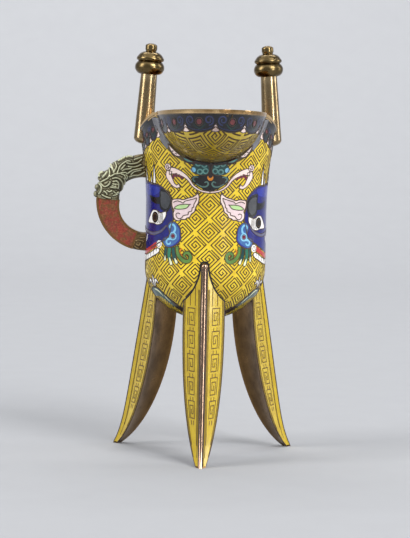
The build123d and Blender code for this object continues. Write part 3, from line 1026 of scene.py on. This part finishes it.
def creaseWalls(x):  # where the fillet starts and ends, with the walls' normals
    corner = creasePoint(x)
    run = (creasePoint(x + 0.05) - creasePoint(x - 0.05)).normalized()
    keelNormal = Vector((x, 0.0, corner.z - spout["level"])).normalized()
    wallNormal = cupChart(cup["radius"] * math.atan2(x, -corner.y), corner.z)[1]
    ahead, away = run.cross(keelNormal), run.cross(wallNormal)
    ahead = ahead if ahead.y < 0 else -ahead
    away = away if away.dot(keelNormal) > 0 else -away
    reach = crease["foot"] + (crease["head"] - crease["foot"]) * abs(x) / spout["radius"]
    keelFoot = seated(corner + ahead * reach, keelNormal, 1.0)
    wallFoot = seated(corner + away * reach, wallNormal, 1.0)
    return corner, keelFoot, keelNormal, wallFoot, wallNormal


def creaseChart(u, v):  # u is x, v the share across the fillet from the spout to the cup
    corner, keelFoot, keelNormal, wallFoot, wallNormal = creaseWalls(u)
    first, last = keelFoot + keelNormal * crease["lift"], wallFoot + wallNormal * crease["lift"]
    inner = (keelNormal + wallNormal).normalized()
    point = first * (1 - v) ** 2 + (corner + inner * crease["lift"]) * 2 * v * (1 - v) + last * v**2
    return point, (keelNormal * (1 - v) + wallNormal * v).normalized()


def creaseSection(x):
    corner, keelFoot, keelNormal, wallFoot, wallNormal = creaseWalls(x)
    inner = (keelNormal + wallNormal).normalized()
    ring = [creaseChart(x, k / crease["bow"])[0] for k in range(crease["bow"] + 1)]
    sink = crease["sink"]
    return ring + [wallFoot - wallNormal * sink, corner - inner * sink, keelFoot - keelNormal * sink]


for first, last, colour in crease["stretches"]:
    count = math.ceil((last - first) / crease["step"])
    rings = [creaseSection(first + (last - first) * k / count) for k in range(count + 1)]
    addLoft(gathered(colour), rings)

for hand in (1, -1):
    chart = lambda u, v: creaseChart(hand * u, v / crease["across"])
    for colour, outline, core, coreColour in crease["petals"]:
        cell(colour, blade(*outline), chart, "base", 0.4)
        fill(coreColour, blade(*core), chart, "second")
print("front motif drawn")

# scalloped cloud-head border under the rim; on the flanks it laps over the rim band
border = {
    "spout": {"top": 1.5, "start": 0.0, "count": 3, "pitch": 14.2, "depth": 9.4, "size": 1.0, "spare": 4.2},
    "flank": {"top": 0.6, "start": 22.0, "count": 8, "pitch": 5.1, "depth": 10.2, "size": 0.45, "spare": 1.8},
    "tail": {"top": 1.5, "start": 6.0, "count": 3, "pitch": 9.4, "depth": 7.6, "size": 0.7, "spare": 0.4},
}
scallop = {
    "dip": 2.4,
    "steps": 8,
    "gap": 0.9,
    "inset": 0.9,
    "spareDips": (1.2, 0.8),
    "curlDepth": 4.4,
    "dotUp": 4.4,  # from the lowest point
}


def drawBorder(chart, lip, sign=1):
    start, pitch, depth, size = lip["start"], lip["pitch"], lip["depth"], lip["size"]
    top, near, shoulder = lip["top"], start + lip["count"] * pitch, depth - scallop["dip"]
    lobes = []
    for i in range(lip["count"]):
        for k in range(scallop["steps"] + 1):
            share = k / scallop["steps"]
            dip = scallop["dip"] * math.sin(math.pi * share) ** 0.6
            lobes.append((sign * (start + (i + share) * pitch), shoulder + dip))
    distant = near + lip["spare"]  # plain end up to the crease
    ends = [(sign * near, shoulder)]
    for u, dip in zip(((near + distant) / 2, distant), scallop["spareDips"]):
        ends.append((sign * u, depth - dip))
    for path, first, last in ((lobes, start, near), (ends, near, distant)):
        fill("navy", [(sign * first, top)] + path + [(sign * last, top)], chart, "base", scallop["gap"])
        line(path, chart, 0.36)
    inner = [(u, v - scallop["inset"]) for u, v in lobes]
    addRibbon(gathered("slate"), inner, chart, 0.3, -0.1, levels["second"])
    half = 0.5 + 1.35 * size
    for i in range(lip["count"] + 1):
        u = sign * (start + i * pitch)
        tip = [(u, depth - 4.0), (u + 0.55 * half, depth - 2.0), (u + half, depth - 0.5), (u, depth - 0.1),
               (u - half, depth - 0.5), (u - 0.55 * half, depth - 2.0)]
        cell("pink", tip, chart, "second", 0.26)
    for i in range(lip["count"]):
        u = sign * (start + (i + 0.5) * pitch)
        fill("plum", disc(u, depth - scallop["dotUp"], 0.4 + 0.75 * size, 16), chart, "second")
        line(disc(u, depth - scallop["dotUp"], 0.75 + 0.95 * size), chart, 0.24, True)
        bow = [(u - 2.8 * size, depth - 3.6), (u, depth - 1.5), (u + 2.8 * size, depth - 3.6)]
        fill("pine", blade(bow, (0.3, 0.8, 0.3)), chart, "second")
        for hand in (1, -1):
            path = curl(u + hand * 4.2 * size, scallop["curlDepth"], 2.1 * size, 1.4, math.pi / 2, -hand)
            addRibbon(gathered("slate"), path, chart, 0.24 + 0.4 * size, -0.1, levels["second"])


for sign in (1, -1):
    drawBorder(lipChart, border["spout"], sign)
    drawBorder(lambda u, v: flankChart(sign * u, v), border["flank"])
    drawBorder(lambda u, v: tailLipChart(sign * u, v), border["tail"])
print("border drawn")

# legs: border lines and stacked square spirals on each enamelled face
legs = {
    "height": 81.7,
    "hip": 27.4,
    "foot": 45.0,
    "toe": 0.18,
    "toePower": 12,
    "hipDepth": 9.1,
    "footDepth": 3.0,
    "heel": 0.15,
    "heelPower": 14,
    "backPower": 2.6,
    "halfWidth": 8.8,
    "footHalf": 2.0,
    "taper": 60.0,
    "taperPowers": (2.6, 0.85),
    "ridgeMargin": 2.3,
    "edgeMargin": 0.8,
    "ridgeInset": 0.6,
    "proud": 0.12,
    "turn": -3.5,
    "angles": (-90.0, 150.0, 30.0),
    "spiralTop": 64.5,
    "spiralPitch": 9.5,
    "spiralFill": 0.92,  # of the pitch
    "spirals": 5,
    "spiralForm": (9, 0.16, 1.0),  # sides, innermost and outermost
    "spiralShare": 0.48,  # of the half face
    "links": (-0.4, 0.4),  # short strokes from one spiral to the next
    "linkEnds": (0.4, -1.3),
    "lineInsets": ((0.35, 3.8), (1.05, 8.5)),  # each with its lowest height
    "lineTop": 72.0,
    "lineSteps": 46,
    "lineEase": 0.15,  # the insets shrink on a narrow face
    "stripes": (-0.2, 0.1),  # shares of the face, above the first spiral
    "stripeFrom": 0.6,
    "stripeRows": (1.0, 9),  # step and count of the heights, and so on below
    "edgeRows": (1.5, 46),
    "toeRows": (0.35, 13),
    "bankRows": (1.7, 48),
    "wire": 0.4,
    "low": 0.7,  # the enamel's lowest height
    "edgeOut": 0.35,
    "edgeWidth": 0.45,
    "toeSides": ((0.5, 0.3), (-0.5, -0.25)),
    "bank": (108.0, 100.0, 91.0, 82.0, 73.0),  # angles round the ridge, from its outermost line
    "bankLine": (75.0, 64.0, 52.0, 41.0),
    "bankSink": 0.3,
    "bankLap": 0.1,
    "ridgeRadius": 1.4,
    "ridgeFoot": 1.0,
}


def legReach(height):
    share = 1 - height / legs["height"]
    sweep = (1 - legs["toe"]) * share + legs["toe"] * share ** legs["toePower"]
    return legs["hip"] + (legs["foot"] - legs["hip"]) * sweep


def legInner(height):
    share = 1 - height / legs["height"]
    inner = legs["hip"] - legs["hipDepth"]
    sweep = (1 - legs["heel"]) * share ** legs["backPower"] + legs["heel"] * share ** legs["heelPower"]
    return inner + (legs["foot"] - legs["footDepth"] - inner) * sweep


def legHalf(height):
    share = max(0.0, 1 - height / legs["taper"])
    first, second = legs["taperPowers"]
    return legs["footHalf"] + (legs["halfWidth"] - legs["footHalf"]) * (1 - share**first) ** second


def legFace(height, side):  # the two ends of an enamelled face at one height
    apex = Vector((legReach(height) - legs["ridgeInset"], 0.0, height))
    edge = Vector((legInner(height), side * legHalf(height), height))
    along = (edge - apex).normalized()
    return apex + along * legs["ridgeMargin"], edge - along * legs["edgeMargin"]


def faceWidth(height):
    near, distant = legFace(height, 1)
    return (distant - near).length


def faceFrame(height, side):  # near end, far end, direction between them and outward normal
    near, distant = legFace(height, side)
    along = (distant - near).normalized()
    return near, distant, along, Vector((-along.y, along.x, 0.0)) * -side


def legChart(spin, side):  # u is the distance from the middle of the face, outwards, v the height
    def chart(u, v):
        near, distant, along, out = faceFrame(v, side)
        return spin @ ((near + distant) / 2 + along * u + out * legs["proud"]), (spin @ out).normalized()
    return chart


def bankSection(height, side, angles, lift):  # closed strip that hugs the ridge between two angles
    share = 1 - height / legs["height"]
    radius = legs["ridgeRadius"] + (legs["ridgeFoot"] - legs["ridgeRadius"]) * share**3
    middle = Vector((legReach(height) - radius, 0.0, height))
    turns = [math.radians(angle) for angle in angles]
    spokes = [Vector((math.cos(turn), side * math.sin(turn), 0.0)) for turn in turns]
    ring = [middle + spoke * (radius + lift) for spoke in spokes]
    ring += [middle + spoke * (radius - legs["bankSink"]) for spoke in reversed(spokes)]
    if angles is legs["bank"]:  # starts on the face
        near, _, along, out = faceFrame(height, side)
        start = near + along * legs["bankLap"]
        ring = [start + out * legs["proud"]] + ring + [start - out * legs["bankSink"]]
    return ring


def heights(low, step, count):
    return [low + step * k for k in range(count)]


def beside(share, offset, places):  # path at a share of the face's width, moved on by an offset
    return [(share * faceWidth(height) + offset, height) for height in places]


def legWire(path, chart, step=1.3):
    addRibbon(legWires, path, chart, legs["wire"], -0.1, 0.06, step=step)


def drawLines(chart):
    for share in (-0.5, 0.5):
        for inset, lowest in legs["lineInsets"]:
            path = []
            for k in range(legs["lineSteps"] + 1):
                height = lowest + (legs["lineTop"] - lowest) * k / legs["lineSteps"]
                away = inset * min(1.0, legs["lineEase"] * faceWidth(height))
                path.append((share * (faceWidth(height) - away * 2), height))
            legWire(path, chart, 3.0)


def drawSpirals(chart):
    above = heights(legs["spiralTop"] + legs["stripeFrom"], *legs["stripeRows"])
    for share in legs["stripes"]:
        legWire(beside(share, 0.0, above), chart)
    for i in range(legs["spirals"]):
        top = legs["spiralTop"] - i * legs["spiralPitch"]
        low = top - legs["spiralPitch"] * legs["spiralFill"]
        path = []
        for a, b in squareSpiral(*legs["spiralForm"]):
            height = (top + low) / 2 + (top - low) / 2 * b
            path.append((a * faceWidth(height) / 2 * legs["spiralShare"], height))
        legWire(path, chart, 1.5)
        half = faceWidth(low) / 2 * legs["spiralShare"]
        for share in legs["links"]:
            legWire([(share * half, low + end) for end in legs["linkEnds"]], chart)


legWires, bankCells, bankLines = newCells(), newCells(), newCells()
for angle in legs["angles"]:
    spin = Matrix.Rotation(math.radians(angle + legs["turn"]), 3, "Z")
    for side in (1, -1):
        chart = legChart(spin, side)
        drawLines(chart)
        outline = beside(0.5, legs["edgeOut"], heights(legs["low"], *legs["edgeRows"]))
        addRibbon(bankLines, outline, chart, legs["edgeWidth"], -0.3, 0.03, step=3.0)
        toe = heights(legs["low"], *legs["toeRows"])
        (outer, outerOff), (inner, innerOff) = legs["toeSides"]
        outline = beside(outer, outerOff, toe) + beside(inner, innerOff, toe[::-1])
        addTile(bankCells, outline, chart, -0.3, 0.03, 0.6)
        drawSpirals(chart)
        levelsUp = heights(legs["low"], *legs["bankRows"])
        for ring, lift, made in ((legs["bank"], 0.1, bankCells), (legs["bankLine"], 0.16, bankLines)):
            sections = [bankSection(height, side, ring, lift) for height in levelsUp]
            addLoft(made, [[spin @ point for point in section] for section in sections])
addPiece("leg_fret_wires", legWires, legGilt)
addPiece("leg_bank_enamel", bankCells, enamels["legYellow"])
addPiece("leg_bank_lines", bankLines, wireDark)

# black line on the cup round each leg's root
root = {
    "low": 66.6,
    "high": 81.2,
    "steps": 24,
    "offset": 0.3,
    "width": 0.75,
    "arch": ((1.35, 82.2), (0.8, 83.0), (0.0, 83.3)),  # over the ridge's end, from the leg's middle
}


def rootTurn(height, side):  # angle from the leg's middle at which its face meets the cup
    apex = Vector((legReach(height) - legs["ridgeInset"], 0.0))
    edge = Vector((legInner(height), side * legHalf(height)))
    outside, inside = 0.0, 1.0
    for _ in range(24):
        middle = (outside + inside) / 2
        if (apex + (edge - apex) * middle).length > cupRadius(height):
            outside = middle
        else:
            inside = middle
    spot = apex + (edge - apex) * inside
    return math.atan2(spot.y, spot.x)


for angle in legs["angles"]:
    facing = math.radians(angle + legs["turn"] + 90.0)
    for side in (1, -1):
        path = []
        for k in range(root["steps"] + 1):
            height = root["low"] + (root["high"] - root["low"]) * k / root["steps"]
            turn = facing + rootTurn(height, side)
            v = lowered(height) if height < cup["sideLow"] else height
            path.append((cup["radius"] * turn + side * root["offset"], v))
        middle = cup["radius"] * facing
        for u, v in root["arch"]:
            path.append((middle + side * (u + root["offset"] * min(1.0, u)), v + 0.6 * root["offset"]))
        addRibbon(gathered("black"), path, cupChart, root["width"], -0.1, levels["wire"])
print("leg faces drawn")

for colour, made in cells.items():
    addPiece("cells_" + colour, made, enamels[colour])
addPiece("motif_wires", motifWires, wireDark)
addPiece("fine_wires", lineWires, wireGilt)

# carved castings of the handle: ridges drawn as seen from the side, in mm about the loop's centre
loop = {"x": -25.6, "z": 106.49}
carving = {
    "groove": (0.5, 1.9, 0.7),  # depth, and place and breadth in ridge widths
    "ballFrom": 19.5,  # from the loop's centre
    "giltFrom": -7.0,
    "giltRun": 6.0,
    "giltMost": 0.7,
}
castings = {
    "handle_beast_head": {
        "slot": "beast_bronze",
        "span": (79.0, 174.5),
        "inner": ((79, 10.7), (96, 10.9), (117, 11.6), (131, 12.2), (146, 12.3), (162, 11.9), (175, 11.45)),
        "outer": ((79, 21.0), (105, 20.9), (113, 21.5), (122, 21.9), (130, 22.4), (133.5, 22.2),
                  (136.7, 21.2), (141.5, 22.1), (146.4, 23.0), (151.5, 23.4), (154, 23.1), (156.2, 22.0),
                  (160, 21.6), (167, 21.6), (175, 21.2)),
        "half": ((79, 3.8), (112, 4.0), (134, 4.4), (150, 4.7), (162, 4.7), (175, 4.2)),
        "rows": 230,
        "around": 150,
        "width": 0.3,
        "rise": 0.55,
        "bumps": ((-18.7, 11.4, 1.9, 0.5), (-17.3, 8.4, 0.9, 0.5), (-12.9, 8.2, 2.6, 0.4),
                  (-14.6, 14.6, 1.5, 0.4)),
        "balls": ((162.5, 1.7, 1.5), (170.5, 1.3, 1.4)),  # angle, place from the middle, radius
        "ridges": (
            ((-15.3, 16.3), (-14.6, 15.0), (-14.2, 13.5), (-14.2, 12.8)),
            ((-13.5, 17.1), (-12.9, 15.4), (-13.4, 14.1), (-13.9, 12.9)),
            ((-16.0, 14.8), (-15.8, 13.2), (-15.9, 11.6), (-16.2, 11.0)),
            ((-12.7, 12.5), (-12.1, 14.0), (-11.3, 15.7), (-9.9, 16.9), (-8.5, 17.7), (-7.1, 17.6)),
            ((-11.0, 14.3), (-10.2, 15.1), (-9.4, 16.0)),
            ((-8.5, 16.9), (-6.9, 16.6), (-5.2, 16.8), (-3.8, 17.3), (-2.3, 18.5)),
            ((-16.1, 10.9), (-14.8, 11.5), (-13.6, 12.2), (-12.0, 12.4), (-10.5, 12.8), (-9.1, 12.9),
             (-8.5, 12.4)),
            ((-8.2, 12.5), (-7.0, 13.4), (-6.1, 14.0), (-4.7, 14.3), (-3.1, 14.7), (-1.3, 15.3)),
            ((-6.7, 12.2), (-5.7, 13.2), (-4.1, 13.7), (-2.5, 14.1)),
            ((-7.4, 11.2), (-5.7, 11.8), (-3.9, 11.9), (-2.5, 12.4), (-1.0, 13.2)),
            ((-14.5, 10.3), (-13.3, 10.6), (-11.8, 10.3), (-10.8, 9.4), (-10.3, 8.0), (-10.5, 6.5),
             (-10.8, 4.9)),
            ((-10.8, 12.2), (-9.6, 11.8), (-9.1, 10.6)),
            ((-14.2, 9.0), (-12.9, 9.3), (-12.1, 8.5), (-12.1, 7.2), (-12.4, 6.1)),
            ((-14.3, 8.0), (-12.6, 7.9)),
            ((-15.4, 6.6), (-13.9, 6.4), (-12.3, 6.3)),
            ((-19.6, 8.7), (-18.9, 7.7), (-17.9, 6.8), (-16.7, 7.2), (-15.8, 8.1), (-15.6, 8.8)),
            ((-19.5, 8.7), (-18.1, 9.4), (-16.8, 10.2), (-16.1, 10.9)),
            ((-20.0, 11.0), (-19.7, 11.9), (-18.7, 12.7)),
            ((-18.6, 10.6), (-17.6, 11.8), (-16.8, 12.9)),
            ((-20.2, 8.3), (-19.3, 7.1), (-19.1, 5.8), (-19.5, 4.6), (-20.1, 3.7)),
            ((-18.7, 3.3), (-17.1, 2.5), (-15.4, 2.1)),
            ((-14.0, 3.1), (-12.9, 3.6), (-11.7, 4.4)),
            ((-18.0, 4.9), (-17.1, 4.3), (-16.8, 3.6)),
            ((-16.7, 5.2), (-15.8, 4.7), (-14.8, 5.2)),
            ((-14.0, 4.9), (-13.0, 4.1), (-12.1, 4.7)),
            ((-12.1, 17.7), (-11.4, 18.1)),
            ((-11.1, 18.2), (-10.4, 18.7)),
            ((-10.1, 18.8), (-9.4, 19.3)),
            ((-8.6, 19.4), (-7.4, 19.6), (-6.2, 19.5)),
            ((-7.9, 15.5), (-6.2, 15.3), (-4.4, 15.6), (-2.6, 16.4)),
            ((-10.4, 13.7), (-9.2, 14.3), (-8.0, 14.4), (-6.8, 14.7)),
            ((-8.9, 11.9), (-8.3, 11.2), (-8.6, 10.2)),
            ((-9.6, 10.4), (-9.3, 9.2), (-9.7, 8.0)),
            ((-17.6, 14.3), (-18.6, 13.6), (-19.6, 12.6)),
            ((-13.2, 7.2), (-13.4, 6.9), (-14.6, 7.2)),
            ((-5.4, 18.4), (-3.6, 19.0), (-2.0, 19.6)),
        ),
        "tones": ((42, 38, 22), (120, 114, 84), (196, 199, 168), (138, 114, 68)),  # from groove to gilt
    },
    "handle_lower_mount": {
        "slot": "handle_bronze",
        "span": (254.0, 284.0),
        "inner": ((254, 12.45), (284, 12.45)),
        "outer": ((254, 20.25), (284, 20.25)),
        "half": ((254, 3.5), (262, 3.6), (284, 3.6)),
        "rows": 90,
        "around": 120,
        "width": 0.22,
        "rise": 0.28,
        "bumps": ((-2.9, -16.8, 1.6, 0.4),),
        "balls": (),
        "ridges": (
            ((-4.2, -16.0), (-3.3, -15.6), (-2.4, -15.7), (-1.5, -15.9), (-0.8, -16.3)),
            ((-2.4, -14.7), (-1.6, -14.6), (-0.6, -14.6)),
            ((-4.0, -17.3), (-3.1, -17.8), (-2.5, -17.5), (-2.3, -16.8)),
            ((-4.6, -18.3), (-4.0, -18.8), (-3.1, -19.1)),
            ((-2.0, -18.7), (-1.5, -18.2), (-1.4, -17.6)),
        ),
        "tones": ((50, 38, 18), (98, 72, 38), (158, 134, 92), (112, 88, 44)),
    },
}


def castBronze(name, groove, plain, ridge, gilt):  # gilt where gilding is left
    material = bronze(name, plain, groove, ridge, 0.5, 0.36, metallic=0.4)
    tree, socket, bloom = surface(material)
    rise, warmth = tree.nodes.new("ShaderNodeAttribute"), tree.nodes.new("ShaderNodeAttribute")
    rise.attribute_name, warmth.attribute_name = "rise", "warmth"
    spread = ranged(tree, noise(tree, objectPlace(tree), 700.0, 3.0), 0.4, 0.7, 0.0, 0.3)
    flat = mixed(tree, spread, bloom, tone(*gilt))
    flat = mixed(tree, warmth.outputs["Fac"], flat, tone(*gilt))
    deep = ranged(tree, rise.outputs["Fac"], -0.4, 0.0, 0.9, 0.0)
    worn = ranged(tree, rise.outputs["Fac"], 0.2, 0.9, 0.0, 0.85)
    low = mixed(tree, deep, flat, tone(*groove))
    tree.links.new(mixed(tree, worn, low, tone(*ridge)), socket)
    return material


def reading(table, at):  # straight-line reading of a short table
    for (a, p), (b, q) in zip(table, table[1:]):
        if at <= b:
            return p + (q - p) * (at - a) / (b - a)
    return table[-1][1]


def roundedSection(count, power=0.7, fine=1440):  # even points round a squarish oval from -1 to 1
    dense = []
    for k in range(fine):
        c, s = math.cos(2 * math.pi * k / fine), math.sin(2 * math.pi * k / fine)
        dense.append((math.copysign(abs(c) ** power, c), math.copysign(abs(s) ** power, s)))
    lengths = [0.0]
    for (a, b), (c, d) in zip(dense, dense[1:] + dense[:1]):
        lengths.append(lengths[-1] + math.hypot(c - a, d - b))
    spots, index = [], 0
    for k in range(count):
        while lengths[index + 1] < lengths[-1] * k / count:
            index += 1
        spots.append(dense[index])
    return spots


def outward(angle):  # in the plane of the loop
    return Vector((math.cos(math.radians(angle)), 0.0, math.sin(math.radians(angle))))


def plainRows(casting):
    section = roundedSection(casting["around"])
    first, last = casting["span"]
    rows = []
    for i in range(casting["rows"] + 1):
        angle = first + (last - first) * i / casting["rows"]
        outer, inner, half = (reading(casting[side], angle) for side in ("outer", "inner", "half"))
        middle, reach, out = (outer + inner) / 2, (outer - inner) / 2, outward(angle)
        rows.append([out * (middle + reach * c) + Vector((0.0, half * s, 0.0)) for c, s in section])
    return rows


def carved(point, casting, ridges):  # height over the plain form, and how far up a ridge that is
    width = casting["width"]
    depth, place, breadth = carving["groove"]
    gap = ridges.find((point.x, point.z, 0.0))[2]
    share = math.exp(-((gap / width) ** 2))
    share -= depth * math.exp(-(((gap - place * width) / (breadth * width)) ** 2))
    height = casting["rise"] * share
    for x, z, size, swell in casting["bumps"]:
        height += swell * math.exp(-((point.x - x) ** 2 + (point.z - z) ** 2) / size**2)
    for angle, aside, size in casting["balls"]:
        centre = outward(angle) * point.xz.length
        off = math.hypot((centre.xz - point.xz).length, abs(point.y) - aside)
        if point.x**2 + point.z**2 > carving["ballFrom"] ** 2 and off < size:
            height += math.sqrt(size**2 - off**2)
            share = 0.1 - 0.5 * (off / size) ** 2
    return height, share


def cast(name, casting):
    spots = [spot for path in casting["ridges"] for spot in smooth(path, closed=False, pieces=16)]
    ridges = KDTree(len(spots))
    for i, (x, z) in enumerate(spots):
        ridges.insert((x, z, 0.0), i)
    ridges.balance()
    rows = plainRows(casting)
    sections, rises, warmths = [], [], []
    for i, row in enumerate(rows):
        before, after = rows[max(i - 1, 0)], rows[min(i + 1, len(rows) - 1)]
        made = []
        for k, point in enumerate(row):
            normal = (after[k] - before[k]).cross(row[(k + 1) % len(row)] - row[k - 1]).normalized()
            normal = normal if normal.dot(point - (row[k - len(row) // 2] + point) / 2) > 0 else -normal
            height, share = carved(point, casting, ridges)
            warmth = min(1.0, max(0.0, (point.x - carving["giltFrom"]) / carving["giltRun"]))
            made.append(point + normal * height + Vector((loop["x"], 0.0, loop["z"])))
            rises.append(share)
            warmths.append(warmth * carving["giltMost"])
        sections.append(made)
    body = newCells()
    addLoft(body, sections)
    material = castBronze(name + "Cast", *casting["tones"])
    piece = addPiece("carved_" + name, body, material, 80.0)
    for label, values in (("rise", rises), ("warmth", warmths)):
        piece.data.attributes.new(label, "FLOAT", "POINT").data.foreach_set("value", values)
    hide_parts(name)


for name, casting in castings.items():
    cast(name, casting)
print("castings carved")

# camera, at the photograph's angle
cameraSet = {
    "lens": 143.4,
    "sensor": 36.0,
    "nearest": 0.05,
    "azimuth": -3.167,
    "distance": 912.9,
    "height": 143.75,
    "pitch": 4.073,
    "roll": 1.135,
}
cameraData = bpy.data.cameras.new("camera")
cameraData.lens = cameraSet["lens"]
cameraData.sensor_width = cameraSet["sensor"]
cameraData.clip_start = cameraSet["nearest"]
camera = bpy.data.objects.new("camera", cameraData)
bpy.context.scene.collection.objects.link(camera)
azimuth = math.radians(cameraSet["azimuth"])
eye = Vector((math.sin(azimuth), -math.cos(azimuth), 0.0)) * cameraSet["distance"]
eye.z = cameraSet["height"]
turn = Matrix.Rotation(azimuth, 4, "Z") @ Matrix.Rotation(math.radians(90.0 - cameraSet["pitch"]), 4, "X")
turn = turn @ Matrix.Rotation(math.radians(cameraSet["roll"]), 4, "Z")
camera.matrix_world = Matrix.Translation(placed(eye)) @ turn
bpy.context.scene.camera = camera

# pale sweep: floor that curves up into a backdrop
sweep = {
    "width": 3.2,
    "front": -1.6,
    "bend": 0.9,
    "radius": 0.7,
    "top": 2.2,
    "steps": 16,
    "paper": ((150, 151, 154), (154, 155, 158)),
}


def sweepPiece():
    bend, radius, half = sweep["bend"], sweep["radius"], sweep["width"] / 2
    profile = [(sweep["front"], 0.0), (bend, 0.0)]
    for i in range(1, sweep["steps"] + 1):
        angle = math.pi / 2 * i / sweep["steps"]
        profile.append((bend + radius * math.sin(angle), radius * (1 - math.cos(angle))))
    profile.append((bend + radius, sweep["top"]))
    points = [(x, y, z) for y, z in profile for x in (-half, half)]
    faces = [[2 * i, 2 * i + 1, 2 * i + 3, 2 * i + 2] for i in range(len(profile) - 1)]
    mesh = bpy.data.meshes.new("sweep")
    mesh.from_pydata(points, [], faces)
    mesh.polygons.foreach_set("use_smooth", [True] * len(faces))
    material = bpy.data.materials.new("palePaper")
    material.use_nodes = True
    tree = material.node_tree
    shader = tree.nodes["Principled BSDF"]
    light, dark = (tone(*shade) for shade in sweep["paper"])
    shade = mixed(tree, noise(tree, objectPlace(tree), 60.0, 5.0), light, dark)
    tree.links.new(shade, shader.inputs["Base Color"])
    shader.inputs["Roughness"].default_value = 0.85
    mesh.materials.append(material)
    piece = bpy.data.objects.new("sweep", mesh)
    bpy.context.scene.collection.objects.link(piece)


sweepPiece()

# soft boxes
lamps = {
    "key": {"place": (0.7, -1.05, 1.15), "aim": (0.0, 0.0, 0.1), "size": (0.7, 0.9), "power": 23.0},
    "overhead": {"place": (-0.2, -0.3, 1.6), "aim": (0.0, 0.0, 0.0), "size": (1.8, 1.5), "power": 7.5},
    "leftBox": {"place": (-1.0, -0.35, 0.66), "aim": (0.0, 0.0, 0.09), "size": (0.4, 0.9), "power": 10.0},
    "rightBox": {"place": (1.1, 0.1, 0.5), "aim": (0.0, 0.0, 0.09), "size": (0.3, 0.9), "power": 4.0},
    "backdrop": {"place": (0.0, 0.75, 1.6), "aim": (0.0, 1.6, 0.7), "size": (1.6, 0.4), "power": 32.0},
    "strip": {"place": (0.64, -0.96, 0.27), "aim": (0.0, 0.0, 0.09), "size": (0.16, 0.36), "power": 2.6},
}
for name, lamp in lamps.items():
    data = bpy.data.lights.new(name, "AREA")
    data.shape = "RECTANGLE"
    data.size, data.size_y = lamp["size"]
    data.energy = lamp["power"]
    light = bpy.data.objects.new(name, data)
    light.location = lamp["place"]
    light.rotation_euler = (Vector(lamp["aim"]) - Vector(lamp["place"])).to_track_quat("-Z", "Y").to_euler()
    bpy.context.scene.collection.objects.link(light)

sky = {"colour": (0.84, 0.87, 0.92, 1.0), "strength": 0.44}
world = bpy.data.worlds.new("studio")
world.use_nodes = True
background = world.node_tree.nodes["Background"]
background.inputs["Color"].default_value = sky["colour"]
background.inputs["Strength"].default_value = sky["strength"]
bpy.context.scene.world = world
bpy.context.scene.view_settings.view_transform = "Standard"
